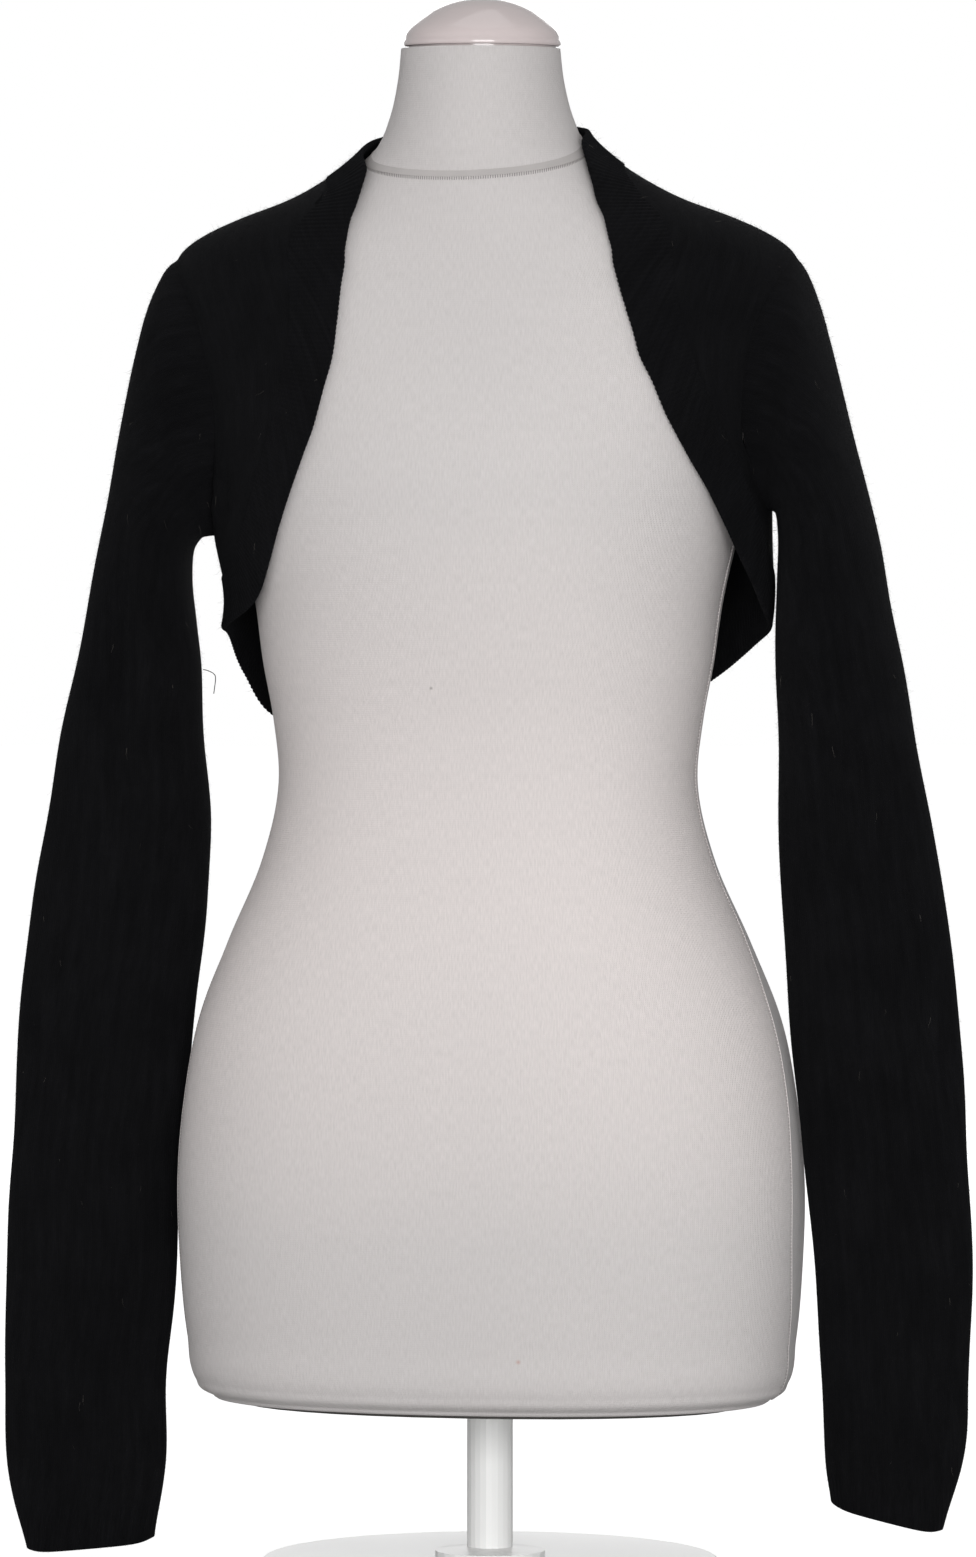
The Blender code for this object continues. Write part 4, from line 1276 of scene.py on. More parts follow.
def panel_chart(first: np.ndarray, last: np.ndarray, left: np.ndarray, right: np.ndarray,
                passes: int = 700) -> np.ndarray:
    """Fill a four-sided patch of turns and heights evenly from its rows and columns.

    Args:
        first: The top row.
        last: The bottom row.
        left: The first column.
        right: The last column.
        passes: How often the inside is evened out.

    Returns:
        A grid of turns and heights.
    """
    down = np.linspace(0, 1, len(left))[:, None, None]
    across = np.linspace(0, 1, len(first))[None, :, None]
    rows = (1 - down) * first[None] + down * last[None]
    columns = (1 - across) * left[:, None] + across * right[:, None]
    corners = ((1 - down) * ((1 - across) * first[0] + across * first[-1])
               + down * ((1 - across) * last[0] + across * last[-1]))
    scale = (0.15, 1)
    grid = (rows + columns - corners) * scale
    for _ in range(passes):
        along = (grid[1:-1, 2:] - grid[1:-1, :-2]) / 2
        down_step = (grid[2:, 1:-1] - grid[:-2, 1:-1]) / 2
        along_size, down_size, slant = ((one * two).sum(-1, keepdims=True) for one, two in
                                        ((along, along), (down_step, down_step), (along, down_step)))
        twist = grid[2:, 2:] - grid[2:, :-2] - grid[:-2, 2:] + grid[:-2, :-2]
        grid[1:-1, 1:-1] = (down_size * (grid[1:-1, 2:] + grid[1:-1, :-2])
                            + along_size * (grid[2:, 1:-1] + grid[:-2, 1:-1])
                            - slant * twist / 2) / (2 * (along_size + down_size))
    return grid / scale


def refined(coarse: np.ndarray, rows: int, columns: int) -> np.ndarray:
    """Resample a grid smoothly to more rows and columns.

    Args:
        coarse: A grid with a last axis of values.
        rows: New number of rows.
        columns: New number of columns.

    Returns:
        The finer grid.
    """
    for size in (rows, columns):
        count = len(coarse)
        flat = coarse.reshape(count, -1)
        spots = np.linspace(0, count - 1, size)
        fine = smooth_rows(np.column_stack([np.arange(count), flat]), spots)
        coarse = np.swapaxes(fine.reshape(size, *coarse.shape[1:]), 0, 1)
    return coarse


@dataclass
class Bodice:
    """The back, the two fronts and the ribbed band round the opening."""

    cloth: ClothShape
    opening: Opening
    armhole: Armhole
    front_rows: int = 28          # coarse rows from the shoulder to the side seam
    front_columns: int = 14
    neck_columns: int = 10
    side_rows: int = 4
    finer: int = 3
    rib_pitch: float = 0.0026
    rib_steps: int = 5
    rib_depth: float = 0.0007
    band_rows: int = 7
    # each front's flat cut: greatest width, greatest length and area
    front_cuts: dict[Side, tuple[float, float, float]] = field(default_factory=lambda: {
        Side.LEFT: (0.106, 0.273, 0.0095), Side.RIGHT: (0.106, 0.315, 0.0163)})
    creases: tuple[Crease, ...] = (
        Crease((-0.1300, 0.6115), (-0.1410, 0.5690), 0.0045, 0.0022),
        Crease((-0.1370, 0.6080), (-0.1470, 0.5720), 0.0035, -0.0016),
        Crease((0.1380, 0.6533), (0.1560, 0.5855), 0.0045, 0.0026),
        Crease((0.1300, 0.6300), (0.1450, 0.5800), 0.0050, -0.0012),
        Crease((0.0900, 0.7100), (0.1250, 0.6500), 0.0090, 0.0008),
        Crease((-0.1000, 0.7050), (-0.1280, 0.6450), 0.0090, 0.0008),
        Crease((0.1250, 0.6300), (0.1350, 0.5600), 0.0060, 0.0030, front=False),
        Crease((-0.1250, 0.6300), (-0.1380, 0.5560), 0.0060, 0.0030, front=False),
        Crease((0.0500, 0.6000), (0.0850, 0.5000), 0.0150, 0.0022, front=False),
        Crease((-0.0450, 0.5950), (-0.0800, 0.4950), 0.0150, 0.0022, front=False),
    )

    def __post_init__(self) -> None:
        """Work out the edge and the seam once."""
        self.edge = self.opening.edge()
        self.seam = self.opening.inset(self.edge, BAND_WIDTH)
        half = len(self.seam) // 2
        self.marks = {}
        for side in Side:
            order = np.arange(half + 1) if side is Side.LEFT else -np.arange(half + 1)
            turns = self.seam[order % len(self.seam), 0]
            beside = math.pi / 2 if side is Side.LEFT else 1.5 * math.pi
            past = np.flatnonzero(turns < beside if side is Side.LEFT else turns > beside)
            for spot in (past[0], past[-1]):
                self.seam[order[spot] % len(self.seam), 0] = beside
            self.marks[side] = (order[past[0]], order[past[-1]])

    def seam_run(self, start: int, end: int, count: int) -> np.ndarray:
        """The seam between two of its points.

        Args:
            start: Number of the first point, below zero on the wearer's right.
            end: Number of the last point.
            count: How many steps.

        Returns:
            Turns and heights.
        """
        spots = np.linspace(start, end, count + 1)
        numbers = np.arange(min(start, end) - 1, max(start, end) + 2)
        rows = self.seam[numbers % len(self.seam)]
        return np.column_stack([np.interp(spots, numbers, rows[:, 0]), np.interp(spots, numbers, rows[:, 1])])

    def creased(self, chart: np.ndarray) -> tuple[np.ndarray, np.ndarray]:
        """The cloth's middle points and directions on a chart, with the creases pressed in.

        Args:
            chart: Turns and heights.

        Returns:
            The points and the outward directions.
        """
        middle = self.cloth.middle(chart[..., 0], chart[..., 1])
        outward = self.cloth.outward(chart[..., 0], chart[..., 1])
        room = smooth_step(self.distance_from_form(chart), 0.0026, 0.0060)
        for crease in self.creases:
            push = crease.relief(middle, outward)
            push = np.where(push > 0, push * room, push)
            middle = middle - outward * push[..., None]
        return middle, outward

    def distance_from_form(self, chart: np.ndarray) -> np.ndarray:
        """Roughly how far the cloth stands off the form at each place of a chart."""
        skin = self.cloth.form.skin(chart[..., 0], chart[..., 1])
        return np.linalg.norm(self.cloth.middle(chart[..., 0], chart[..., 1]) - skin, axis=-1)

    def front(self, side: Side, tools: Tools) -> bpy.types.Object:
        """One front.

        Args:
            side: The wearer's side.
            tools: Trees, templates and finishes.

        Returns:
            The piece.
        """
        shoulder, hip = self.marks[side]
        inner = self.seam_run(shoulder, hip, self.front_rows)
        hole = self.armhole.chart(np.linspace(0, math.pi, self.front_rows + 1), side)
        chart = panel_chart(np.linspace(inner[0], hole[0], self.front_columns + 1),
                            np.linspace(inner[-1], hole[-1], self.front_columns + 1), inner, hole)
        chart = refined(chart, self.front_rows * self.finer + 1, self.front_columns * self.finer + 1)
        name = f"{side.label}_front_knit"
        piece = Wall(*self.creased(chart), WALL, False).build(name)
        placed(piece, tools.finishes.knit, "black_knit", f"{side.label}_front")
        extras = Fuzz().build(piece, tools, 10 + side.value)
        width, length, area = self.front_cuts[side]
        return piece

    def back(self, tools: Tools) -> bpy.types.Object:
        """The back.

        Args:
            tools: Trees, templates and finishes.

        Returns:
            The piece.
        """
        left_shoulder, left_side = self.marks[Side.LEFT]
        right_shoulder, right_side = self.marks[Side.RIGHT]
        columns = 2 * (self.front_columns + self.neck_columns)
        hem = self.seam_run(left_side, len(self.seam) + right_side, columns)
        neck = self.seam_run(left_shoulder, right_shoulder, 2 * self.neck_columns)
        phases = np.linspace(2 * math.pi, math.pi, self.front_rows + 1)
        holes = [self.armhole.chart(phases, side) for side in Side]
        sides = [np.vstack([hole, np.linspace(hole[-1], end, self.side_rows + 1)[1:]])
                 for hole, end in zip(holes, (hem[0], hem[-1]))]
        first = np.vstack([np.linspace(holes[0][0], neck[0], self.front_columns + 1)[:-1], neck,
                           np.linspace(neck[-1], holes[1][0], self.front_columns + 1)[1:]])
        chart = panel_chart(first, hem, *sides)
        chart = refined(chart, (self.front_rows + self.side_rows) * self.finer + 1, columns * self.finer + 1)
        piece = Wall(*self.creased(chart), WALL, False).build("back_knit")
        placed(piece, tools.finishes.knit, "black_knit", "back")
        extras = Fuzz().build(piece, tools, 20)
        return piece

    def band(self, tools: Tools) -> bpy.types.Object:
        """The ribbed band, one closed loop.

        Args:
            tools: Trees, templates and finishes.

        Returns:
            The piece.
        """
        centre = (self.edge + self.seam) / 2
        places = self.cloth.middle(centre[:, 0], centre[:, 1])
        steps = np.linalg.norm(np.roll(places, -1, axis=0) - places, axis=1)
        length = np.concatenate([[0], np.cumsum(steps)])
        ribs = round(length[-1] / self.rib_pitch)
        spots = np.linspace(0, length[-1], ribs * self.rib_steps, endpoint=False)
        loops = [
            np.column_stack([np.interp(spots, length, np.append(column, column[0])) for column in loop.T])
            for loop in (self.seam, self.edge)]
        shares = np.linspace(0, 1, self.band_rows)[:, None, None]
        chart = loops[0] * (1 - shares) + loops[1] * shares
        middle, outward = self.creased(chart)
        middle = middle + outward * (BAND_WALL - WALL) / 2
        run = np.broadcast_to(np.arange(len(spots)) / self.rib_steps, chart.shape[:2])
        wall = Wall(middle, outward, BAND_WALL, True, round_last=True, marks={"rib_run": run})
        plain = wall.build("plain_band")
        piece = grown(plain, tools.ribs, "ribbed_band", {
            "Depth": self.rib_depth, "Finish": tools.finishes.rib})
        bpy.data.objects.remove(plain)
        placed(piece, tools.finishes.rib, "black_rib", "rib_band")
        extras = Fuzz(0.85, 1.9).build(piece, tools, 30)
        LOG.info("opening %.3f m round, %d ribs", length[-1], ribs)
        return piece

    def build(self, tools: Tools) -> None:
        """Build the back, the fronts and the band.

        Args:
            tools: Trees, templates and finishes.
        """
        self.back(tools)
        for side in Side:
            self.front(side, tools)
        self.band(tools)


@dataclass
class Sleeve:
    """One sleeve, from the armhole to its open cuff.

    outer and inner are each ring's two edges seen from the front. Troughs run down it: across
    is -1 at the inner edge and 1 at the outer one.
    """

    cloth: ClothShape
    armhole: Armhole
    side: Side
    rows: tuple[tuple[float, ...], ...]
    troughs: tuple[tuple, ...]
    creases: tuple[Crease, ...]
    fullness: float = 2.3
    hole_shares: tuple[float, ...] = (0.70, 0.50, 0.30, 0.15, 0.05)
    thread: tuple[tuple[float, float, float], ...] = ()     # a loose end of yarn
    thread_radius: float = 0.00025
    around: int = 84
    down: int = 200
    cuff_rib: float = 0.018
    cuff_corner: float = 0.0025   # how far the cuff's two corners are drawn up

    def ring(self, row: tuple[float, ...], phase: np.ndarray) -> np.ndarray:
        """The points of one of the table's rings on the wearer's left.

        Args:
            row: The ring's sizes.
            phase: Phases round the sleeve.

        Returns:
            The points.
        """
        outer_x, outer_z, inner_x, inner_z, middle_y, half_depth = row
        across = signed_power(np.cos(phase), 2 / self.fullness)
        ahead = signed_power(np.sin(phase), 2 / self.fullness)
        x = (outer_x + inner_x) / 2 + across * (outer_x - inner_x) / 2
        z = (outer_z + inner_z) / 2 + across * (outer_z - inner_z) / 2
        return np.stack([x, middle_y - half_depth * ahead, z], -1)

    def trough_push(self, phase: np.ndarray, height: np.ndarray) -> np.ndarray:
        """How far each point is pushed along y by the long troughs.

        Args:
            phase: Phases round the sleeve.
            height: Heights of the points.

        Returns:
            Moves along y.
        """
        across = signed_power(np.cos(phase), 2 / self.fullness)
        push = np.zeros_like(height)
        for front, centre, top, foot, half_width, depth in self.troughs:
            middle, reach = (top + foot) / 2, (top - foot) / 2
            upright = np.clip(1 - ((height - middle) / reach) ** 2, 0, 1) ** 1.5
            sideways = np.exp(-((across - centre) / half_width) ** 2)
            facing = np.clip(np.sin(phase) * (1 if front else -1), 0, 1) ** 0.5
            push = push + (1 if front else -1) * depth * upright * sideways * facing
        return push

    def surface(self) -> tuple[np.ndarray, np.ndarray]:
        """The sleeve's middle points on a fine grid.

        Returns:
            The points and the length run down from the armhole.
        """
        # even steps round the ring's outline, so that its two edges are as finely cut as the rest
        fine = np.linspace(0, 2 * math.pi, 1441)
        outline = self.ring((1.0, 0, 0.0, 0, 0, 0.22), fine)
        length = np.concatenate([[0], np.cumsum(np.linalg.norm(np.diff(outline, axis=0), axis=1))])
        phase = np.interp(np.linspace(0, length[-1], self.around, endpoint=False), length, fine)
        hole_chart = self.armhole.chart(phase, self.side)
        hole = self.cloth.middle(hole_chart[:, 0], hole_chart[:, 1])
        flip = np.array((self.side.value, 1, 1))
        knots = [hole * flip]
        for number, row in enumerate(self.rows):
            ring = self.ring(row, phase)
            share = self.hole_shares[number] if number < len(self.hole_shares) else 0
            ring[:, 1] += (hole[:, 1] - ring[:, 1]) * share
            knots.append(ring)
        knots = np.stack(knots)
        middles = knots.mean(axis=1)
        run = np.concatenate([[0], np.cumsum(np.linalg.norm(np.diff(middles, axis=0), axis=1))])
        run[1:] = np.maximum(run[1:], run[:-1] + 0.004)
        spots = np.linspace(0, run[-1], self.down)
        grid = smooth_rows(np.column_stack([run, knots.reshape(len(knots), -1)]), spots)
        grid = grid.reshape(self.down, self.around, 3)
        grid[..., 1] += self.trough_push(phase[None, :], grid[..., 2])
        across = signed_power(np.cos(phase), 2 / self.fullness)[None, :]
        cuff = smooth_step(spots, spots[-1] - 0.030, spots[-1])[:, None]
        grid[..., 2] += self.cuff_corner * np.abs(across) ** 7 * cuff
        return grid * flip, spots

    def loose_thread(self, tools: Tools) -> bpy.types.Object:
        """The loose end of yarn that hangs off the sleeve.

        Args:
            tools: Trees, templates and finishes.

        Returns:
            The piece.
        """
        knots = np.array(self.thread)
        spots = np.linspace(0, len(knots) - 1, 30)
        path = smooth_rows(np.column_stack([np.arange(len(knots)), knots]), spots)
        yarn = tube(f"{self.side.label}_loose_thread", path, self.thread_radius)
        return placed(yarn, tools.finishes.nap, "black_knit")

    def build(self, tools: Tools) -> bpy.types.Object:
        """Build the sleeve.

        Args:
            tools: Trees, templates and finishes.

        Returns:
            The piece.
        """
        middle, spots = self.surface()
        around = np.roll(middle, -1, axis=1) - np.roll(middle, 1, axis=1)
        outward = unit(np.cross(around, np.gradient(middle, axis=0))) * self.side.value
        hang = smooth_step(spots, 0.03, 0.14)[:, None]
        x, z = middle[..., 0], middle[..., 2]
        drift = np.sin(z * 47 + x * 31) * np.sin(z * 21 + 2 * self.side.value)
        push = -0.0007 * hang * drift
        for crease in self.creases:
            push = push + crease.relief(middle, outward)
        middle = middle - outward * push[..., None]
        ribbed = smooth_step(spots, spots[-1] - self.cuff_rib - 0.004, spots[-1] - self.cuff_rib)
        rib = np.broadcast_to(ribbed[:, None], middle.shape[:2])
        wall = Wall(middle, outward, WALL, True, round_last=True, marks={"cuff_rib": rib})
        piece = wall.build(f"{self.side.label}_sleeve_knit")
        placed(piece, tools.finishes.knit, "black_knit", f"{self.side.label}_sleeve")
        extras = Fuzz().build(piece, tools, 40 + self.side.value)
        if self.thread:
            extras.append(self.loose_thread(tools))
        return piece


def sleeves(cloth: ClothShape, armhole: Armhole) -> list[Sleeve]:
    """Both sleeves with their own sizes, because they hang differently.

    Args:
        cloth: The body cloth.
        armhole: The armhole.

    Returns:
        The wearer's left sleeve and the right one.
    """
    left = Sleeve(cloth, armhole, Side.LEFT, rows=(
        # outer_x  outer_z  inner_x  inner_z  middle_y  half_depth
        (0.1722, 0.7060, 0.1545, 0.5795, -0.003, 0.0545),
        (0.1785, 0.6895, 0.1560, 0.5792, -0.003, 0.0540),
        (0.1840, 0.6700, 0.1577, 0.5785, -0.003, 0.0525),
        (0.1955, 0.6250, 0.1600, 0.5740, -0.003, 0.0480),
        (0.2047, 0.5900, 0.1605, 0.5610, -0.002, 0.0440),
        (0.2112, 0.5620, 0.1592, 0.5420, -0.001, 0.0410),
        (0.2172, 0.5300, 0.1582, 0.5180, 0.000, 0.0370),
        (0.2240, 0.4980, 0.1580, 0.4940, 0.001, 0.0330),
        (0.2313, 0.4550, 0.1590, 0.4540, 0.001, 0.0270),
        (0.2410, 0.4110, 0.1598, 0.4110, 0.001, 0.0215),
        (0.2480, 0.3680, 0.1614, 0.3680, 0.000, 0.0175),
        (0.2543, 0.3250, 0.1647, 0.3250, -0.001, 0.0150),
        (0.2576, 0.2820, 0.1674, 0.2820, -0.002, 0.0135),
        (0.2601, 0.2390, 0.1723, 0.2390, -0.003, 0.0125),
        (0.2629, 0.1960, 0.1774, 0.1950, -0.003, 0.0120),
        (0.2638, 0.1520, 0.1811, 0.1510, -0.003, 0.0115),
        (0.2620, 0.1090, 0.1844, 0.1080, -0.003, 0.0110),
        (0.2586, 0.0660, 0.1857, 0.0650, -0.003, 0.0105),
        (0.2480, 0.0270, 0.1890, 0.0410, -0.003, 0.0095),
    ), troughs=(
        # front  across  top_z   foot_z  half_width  depth
        (True, 0.05, 0.590, 0.400, 0.30, 0.0070),
        (False, -0.10, 0.570, 0.380, 0.32, 0.0065),
    ), creases=(
        Crease((0.1660, 0.6300), (0.1700, 0.5750), 0.0050, 0.0022),
        Crease((0.1740, 0.5950), (0.1850, 0.5200), 0.0060, 0.0012),
        Crease((0.1880, 0.4700), (0.1960, 0.4000), 0.0080, 0.0012),
        Crease((0.1680, 0.6250), (0.1750, 0.5650), 0.0055, 0.0025, front=False),
        Crease((0.1950, 0.4500), (0.2100, 0.3600), 0.0090, 0.0014, front=False),
    ))
    right = Sleeve(cloth, armhole, Side.RIGHT, rows=(
        # outer_x  outer_z  inner_x  inner_z  middle_y  half_depth
        (0.1790, 0.7060, 0.1550, 0.5655, -0.003, 0.0545),
        (0.1850, 0.6920, 0.1565, 0.5652, -0.003, 0.0540),
        (0.1908, 0.6700, 0.1590, 0.5648, -0.003, 0.0525),
        (0.2003, 0.6250, 0.1632, 0.5620, -0.003, 0.0480),
        (0.2073, 0.5900, 0.1672, 0.5550, -0.002, 0.0440),
        (0.2136, 0.5620, 0.1680, 0.5400, -0.001, 0.0410),
        (0.2206, 0.5290, 0.1655, 0.5180, 0.000, 0.0370),
        (0.2278, 0.4960, 0.1620, 0.4940, 0.001, 0.0330),
        (0.2374, 0.4520, 0.1601, 0.4520, 0.001, 0.0270),
        (0.2455, 0.4090, 0.1565, 0.4090, 0.001, 0.0215),
        (0.2534, 0.3650, 0.1582, 0.3650, 0.000, 0.0175),
        (0.2595, 0.3210, 0.1633, 0.3210, -0.001, 0.0150),
        (0.2617, 0.2770, 0.1668, 0.2770, -0.002, 0.0135),
        (0.2638, 0.2330, 0.1724, 0.2330, -0.003, 0.0125),
        (0.2667, 0.1890, 0.1737, 0.1890, -0.003, 0.0120),
        (0.2690, 0.1450, 0.1766, 0.1450, -0.003, 0.0115),
        (0.2688, 0.1010, 0.1807, 0.1010, -0.003, 0.0110),
        (0.2680, 0.0540, 0.1810, 0.0570, -0.003, 0.0105),
        (0.2563, 0.0068, 0.1866, 0.0140, -0.003, 0.0095),
    ), troughs=(
        # front  across  top_z   foot_z  half_width  depth
        (True, 0.10, 0.575, 0.400, 0.30, 0.0070),
        (False, -0.05, 0.560, 0.370, 0.32, 0.0065),
    ), creases=(
        Crease((-0.1728, 0.6810), (-0.1839, 0.6533), 0.0035, 0.0018),
        Crease((-0.1640, 0.6200), (-0.1700, 0.5700), 0.0050, 0.0020),
        Crease((-0.1880, 0.4500), (-0.2000, 0.3900), 0.0090, 0.0012),
        Crease((-0.1680, 0.6250), (-0.1750, 0.5650), 0.0055, 0.0025, front=False),
        Crease((-0.1950, 0.4400), (-0.2120, 0.3500), 0.0090, 0.0014, front=False),
    ), thread=((-0.1590, 0.000, 0.4915), (-0.1560, -0.001, 0.4908), (-0.1530, -0.001, 0.4892),
               (-0.1522, 0.000, 0.4865), (-0.1534, 0.001, 0.4783)))
    return [left, right]


# The form and its stand


@dataclass
class DressForm:
    """The limbless form: its stretched jersey cover, its seams, its neck cap and its stand."""

    shape: FormShape
    around: int = 128
    down: int = 180
    cover: float = 0.001
    cap_shift: float = 0.0010
    seam_radius: float = 0.00055
    fold_height: float = 0.0032
    neck_top: float = 0.8273      # where the jersey ends under the cap's lip
    foot_drop: float = 0.0022     # how far the turned-under foot reaches down over the board's rim
    foot_turn: tuple[tuple[float, float], ...] = (
        # share of the foot's width, share of the drop
        (0.997, 0.4), (0.988, 0.8), (0.972, 1.0), (0.950, 1.0), (0.925, 1.0),
    )
    fine_foot: tuple[float, int] = (0.110, 22)     # height below which the rows are finer, and their number
    neck_seam_height: float = 0.7745
    neck_seam_slope: tuple[float, float] = (0.0157, 0.00156)     # fall to the front, rise to the left
    side_seam_span: tuple[float, float] = (0.098, 0.56)
    cap_profile: tuple[tuple[float, float], ...] = (
        # share of the neck's width, height above the jersey's end
        (0.930, 0.0001), (0.930, 0.0010), (0.975, 0.0011), (0.990, 0.0014), (0.9945, 0.0021), (0.994, 0.0031),
        (0.988, 0.0040), (0.978, 0.0047), (0.972, 0.0056), (0.969, 0.0067), (0.960, 0.0081),
        (0.930, 0.0102), (0.892, 0.0120), (0.830, 0.0146), (0.754, 0.0170), (0.674, 0.0196),
        (0.582, 0.0218), (0.485, 0.0237), (0.385, 0.0252), (0.280, 0.0264), (0.178, 0.0270),
        (0.080, 0.0274),
    )
    side_seam_turns: tuple[tuple[float, float], ...] = (
        # height, degrees
        (0.090, 86.0), (0.114, 84.5), (0.152, 82.0), (0.192, 79.5), (0.228, 80.0), (0.262, 82.2),
        (0.282, 82.6), (0.314, 83.7), (0.338, 87.0), (0.354, 88.3), (0.420, 89.0), (0.600, 89.0),
        (0.900, 90.0),
    )

    def jersey(self, tools: Tools) -> bpy.types.Object:
        """The cover, turned under at the foot and ending at the neck.

        Args:
            tools: Trees, templates and finishes.

        Returns:
            The piece.
        """
        turns = np.linspace(0, 2 * math.pi, self.around, endpoint=False)
        heights = np.array([row[0] for row in self.shape.sections])
        fine_top, fine_rows = self.fine_foot
        spread = np.unique(np.concatenate([
            np.linspace(heights[0], fine_top, fine_rows), np.linspace(fine_top, self.neck_top, self.down)]))
        outside = np.stack([self.shape.skin(turns, height) for height in spread[::-1]])
        foot = outside[-1]
        centre = foot.mean(axis=0)
        under = np.stack([centre + (foot - centre) * share - (0, 0, part * self.foot_drop)
                          for share, part in self.foot_turn])
        outside = np.vstack([outside, under])
        along = np.roll(outside, -1, axis=1) - np.roll(outside, 1, axis=1)
        outward = unit(np.cross(np.gradient(outside, axis=0), along))
        from_middle = outside - outside.mean(axis=1, keepdims=True)
        outward *= np.sign((outward * from_middle)[:, 0].sum(-1))[len(spread) // 2]
        levels = np.concatenate([spread[::-1], np.full(len(under), heights[0])])
        past = np.degrees(np.minimum(turns, 2 * math.pi - turns)) - smooth_rows(self.side_seam_turns, levels)
        piece = Wall(outside - outward * self.cover / 2, outward, self.cover, True,
                     marks={"past_seam": past}).build("jersey_cover")
        placed(piece, tools.finishes.jersey, "pale_jersey", "torso")
        return piece

    def seam_path(self, turn: np.ndarray, height: np.ndarray, lift: float) -> np.ndarray:
        """A path on the skin, lifted a little off it."""
        return self.shape.skin(turn, height) + surface_normal(self.shape.skin, turn, height) * lift

    def stitch_row(self, name: str, path: np.ndarray, stitch: bpy.types.Object, pitch: float, upright: float,
                   tools: Tools) -> bpy.types.Object:
        """A row of stitches along a path.

        Args:
            name: The row's name.
            path: Its points.
            stitch: The stitch that is laid.
            pitch: The step from one to the next.
            upright: 0 where they lie along the path, 1 where they stand upright.
            tools: Trees, templates and finishes.

        Returns:
            The piece.
        """
        mesh = bpy.data.meshes.new(f"{name}_guide")
        mesh.from_pydata(path.tolist(), [(k, k + 1) for k in range(len(path) - 1)], [])
        guide = bpy.data.objects.new(f"{name}_guide", mesh)
        bpy.context.scene.collection.objects.link(guide)
        row = grown(guide, tools.stitches, name, {
            "Stitch": stitch, "Pitch": pitch, "Upright": upright, "Finish": tools.finishes.thread})
        bpy.data.objects.remove(guide)
        return placed(row, tools.finishes.thread, "pale_jersey")

    def neck_seam(self, tools: Tools) -> None:
        """The flat fold round the neck's foot and the upright stitches under it.

        Args:
            tools: Trees, templates and finishes.
        """
        turns = np.linspace(0, 2 * math.pi, 241)
        fall, rise = self.neck_seam_slope
        heights = self.neck_seam_height - fall * np.cos(turns) + rise * np.sin(turns)
        offsets = np.linspace(0.5, -0.5, 5) * self.fold_height
        levels = [heights[:-1] + offset for offset in offsets]
        middle = np.stack([self.seam_path(turns[:-1], level, 0.00022) for level in levels])
        outward = np.stack([surface_normal(self.shape.skin, turns[:-1], level) for level in levels])
        fold = Wall(middle, outward, 0.00042, True).build("neck_seam_fold")
        placed(fold, tools.finishes.fold, "pale_jersey")
        path = self.seam_path(turns, heights - self.fold_height / 2 - 0.0007, 0.00020)
        self.stitch_row("neck_seam_stitches", path, tools.upright_stitch, 0.0013, 1.0, tools)

    def side_seam(self, side: Side, tools: Tools) -> None:
        """A side seam's welt and its small slanting stitches.

        Args:
            side: The wearer's side.
            tools: Trees, templates and finishes.
        """
        heights = np.linspace(*self.side_seam_span, 160)
        turns = smooth_rows(self.side_seam_turns, heights)[:, 0]
        name = f"{side.label}_side_seam"
        turn = np.radians(turns) * side.value
        welt = tube(name, self.seam_path(turn, heights, 0.0), self.seam_radius)
        placed(welt, tools.finishes.jersey, "pale_jersey")
        beside = np.radians(turns - 0.55) * side.value
        path = self.seam_path(beside, heights, 0.00015)
        self.stitch_row(f"{name}_stitches", path, tools.slant_stitch, 0.0019, 0.0, tools)

    def neck_cap(self, tools: Tools) -> bpy.types.Object:
        """The glossy cap with its lip.

        Args:
            tools: Trees, templates and finishes.

        Returns:
            The piece.
        """
        turns = np.linspace(0, 2 * math.pi, 120, endpoint=False)
        neck = self.shape.skin(turns, self.neck_top)
        centre = neck.mean(axis=0)
        shift = np.array((self.cap_shift, 0, 0))
        rings = [centre + shift + (neck - centre) * share + (0, 0, rise) for share, rise in self.cap_profile]
        return placed(ringed("gloss_neck_cap", rings), tools.finishes.plastic, "pale_plastic", "neck_cap")

    def build(self, tools: Tools) -> None:
        """Build the cover, the seams and the cap, and dress the stand's own nodes.

        Args:
            tools: Trees, templates and finishes.
        """
        self.jersey(tools)
        self.neck_seam(tools)
        for side in Side:
            self.side_seam(side, tools)
        self.neck_cap(tools)
        for node, finish in (("base_board", tools.finishes.board), ("stand_pole", tools.finishes.paint),
                             ("stand_plate", tools.finishes.paint)):
            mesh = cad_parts[node].data
            for index in range(len(mesh.materials)):
                mesh.materials[index] = finish


# The studio


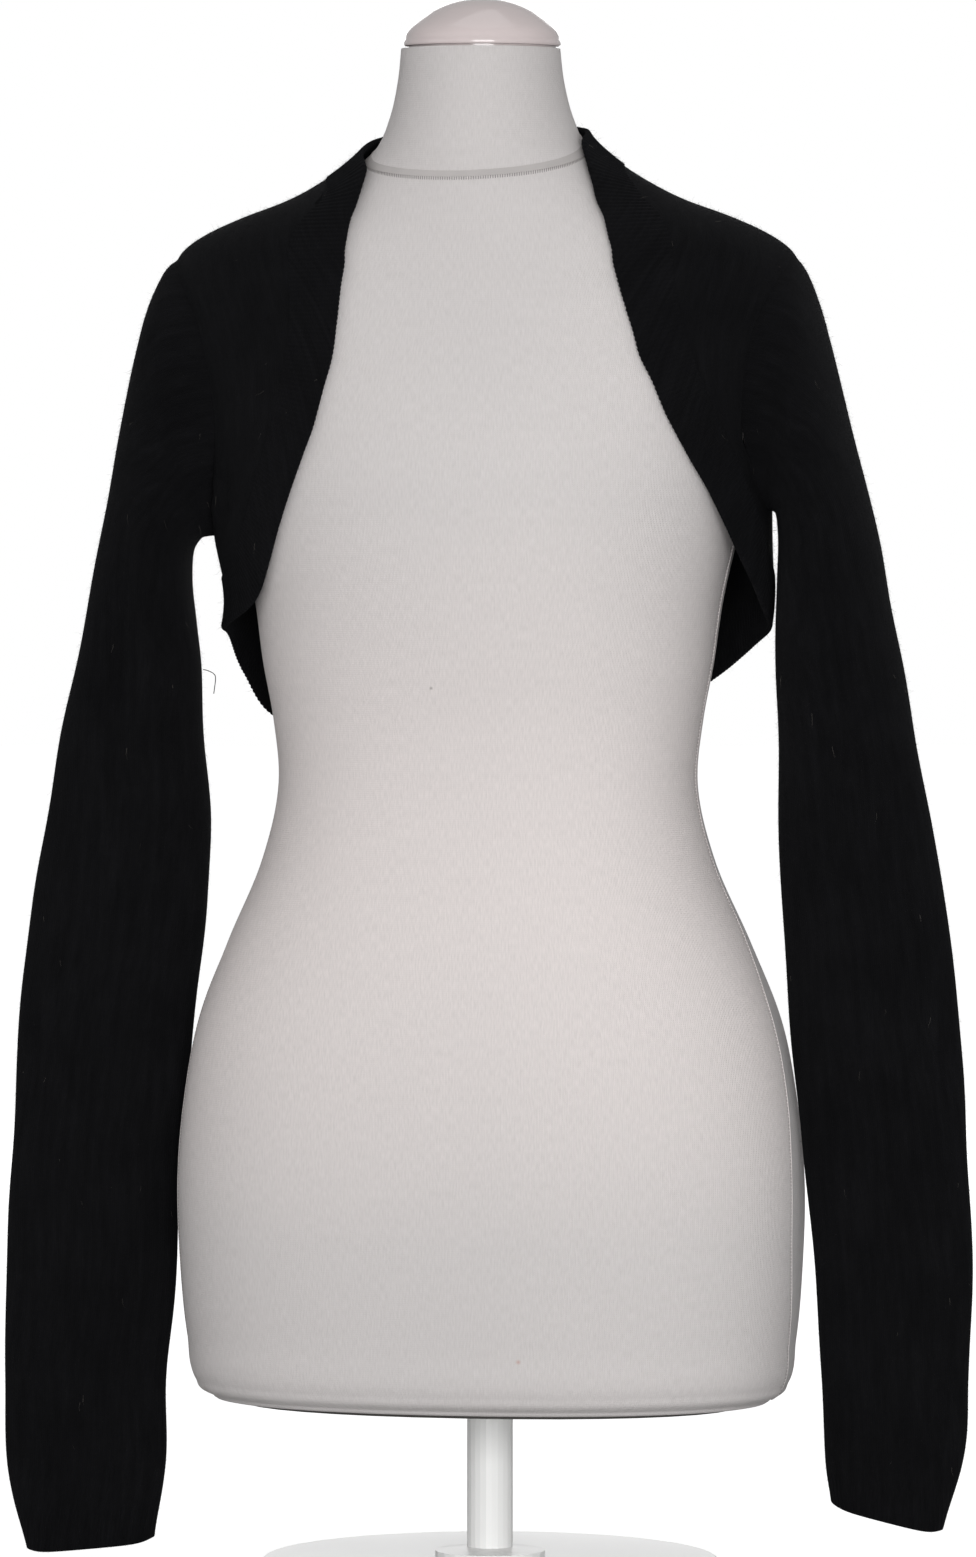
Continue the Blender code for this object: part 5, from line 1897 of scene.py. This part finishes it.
@dataclass
class Studio:
    """A pale floor, soft lights and the camera at the photograph's angle."""

    azimuth: float = 10.0
    distance: float = 5.0
    camera_height: float = 0.6115
    aim_height: float = 0.4329
    pixels_per_metre: float = 1840.0
    frame_height: float = 1557.0
    axis_offset: float = 2.0       # pixels that the form's axis lies right of the frame's middle
    floor_radius: float = 14.0
    floor_glow: float = 0.80
    ambient: float = 0.45
    lights: tuple[tuple, ...] = (
        # name, place, side and power
        ("key_light", (0.75, -2.85, 0.50), 1.7, 73.0),
        ("left_light", (-2.6, -1.2, 1.1), 1.4, 4.0),
        ("top_light", (0.1, 0.1, 3.2), 2.0, 7.0),
        ("back_light", (-0.5, 3.2, 1.1), 1.8, 16.0),
    )

    def camera(self) -> None:
        """Place the camera."""
        angle = math.radians(self.azimuth)
        right = np.array((math.cos(angle), math.sin(angle), 0))
        back = np.array((math.sin(angle), -math.cos(angle), 0))
        place = back * self.distance + (0, 0, self.camera_height)
        aim = np.array((0, 0, self.aim_height))
        reach = float(np.linalg.norm(aim - place))
        forward = (aim - place) / reach
        data = bpy.data.cameras.new("photo_camera")
        data.sensor_fit = "VERTICAL"
        data.sensor_height = 24.0
        data.lens = self.pixels_per_metre * reach / self.frame_height * data.sensor_height
        camera = bpy.data.objects.new("photo_camera", data)
        bpy.context.scene.collection.objects.link(camera)
        camera.location = place - right * self.axis_offset / self.pixels_per_metre
        up = np.cross(right, forward)
        camera.rotation_euler = to_euler(right, up, -forward)
        bpy.context.scene.camera = camera

    def light(self, name: str, place: tuple[float, float, float], size: float, power: float) -> None:
        """A square soft light that looks at the chest.

        Args:
            name: Its name.
            place: Where it hangs.
            size: Its side.
            power: Its power in watts.
        """
        data = bpy.data.lights.new(name, "AREA")
        data.shape, data.size, data.energy = "SQUARE", size, power
        lamp = bpy.data.objects.new(name, data)
        bpy.context.scene.collection.objects.link(lamp)
        lamp.location = place
        back = unit(np.array(place) - (0, 0, 0.45))
        right = unit(np.cross((0, 0, 1), back))
        lamp.rotation_euler = to_euler(right, np.cross(back, right), back)

    def floor(self, material: bpy.types.Material) -> None:
        """The plain pale floor, a wide disc.

        Args:
            material: Its material.
        """
        angles = np.linspace(0, 2 * math.pi, 96, endpoint=False)
        points = [(self.floor_radius * math.cos(a), self.floor_radius * math.sin(a), 0.0) for a in angles]
        mesh = bpy.data.meshes.new("studio_floor")
        mesh.from_pydata(points, [], [tuple(range(len(points)))])
        mesh.materials.append(material)
        floor = bpy.data.objects.new("studio_floor", mesh)
        bpy.context.scene.collection.objects.link(floor)

    def build(self) -> None:
        """Build the floor, the lights, the world and the camera."""
        material, g, shader = new_material("pale_floor")
        g.fill(shader, {
            "Base Color": (0.50, 0.50, 0.50, 1), "Roughness": 0.95, "Specular IOR Level": 0.05,
            "Emission Color": (1, 1, 1, 1)})
        seen = g.node("ShaderNodeLightPath").outputs["Is Camera Ray"]
        g.feed(shader.inputs["Emission Strength"], g.math("MULTIPLY", seen, self.floor_glow))
        self.floor(material)
        world = bpy.data.worlds.new("soft_room")
        world.use_nodes = True
        sky = Graph(world.node_tree)
        behind = sky.node("ShaderNodeLightPath").outputs["Is Camera Ray"]
        air = world.node_tree.nodes["Background"]
        air.inputs[0].default_value = (1, 1, 1, 1)
        sky.feed(air.inputs[1], sky.math("MULTIPLY_ADD", behind, 1.0 - self.ambient, self.ambient))
        bpy.context.scene.world = world
        for name, place, size, power in self.lights:
            self.light(name, place, size, power)
        bpy.context.scene.view_settings.view_transform = "Standard"
        self.camera()


def to_euler(right: np.ndarray, up: np.ndarray, back: np.ndarray) -> Euler:
    """The rotation whose x, y and z axes are the given directions."""
    return Matrix(np.column_stack([right, up, back]).tolist()).to_euler()


def main() -> None:
    """Build every piece in order and report it."""
    tools = Tools()
    form = FormShape()
    cloth = ClothShape(form)
    armhole = Armhole(cloth)
    DressForm(form).build(tools)
    LOG.info("form built")
    Bodice(cloth, Opening(cloth), armhole).build(tools)
    LOG.info("bodice built")
    for sleeve in sleeves(cloth, armhole):
        sleeve.build(tools)
    LOG.info("sleeves built")
    Studio().build()
    tools.clear()
    pieces = [piece for piece in bpy.data.objects if piece.type == "MESH"]
    LOG.info("in all: %d triangles", sum(triangle_count(piece) for piece in pieces))


if __name__ == "__main__":
    main()
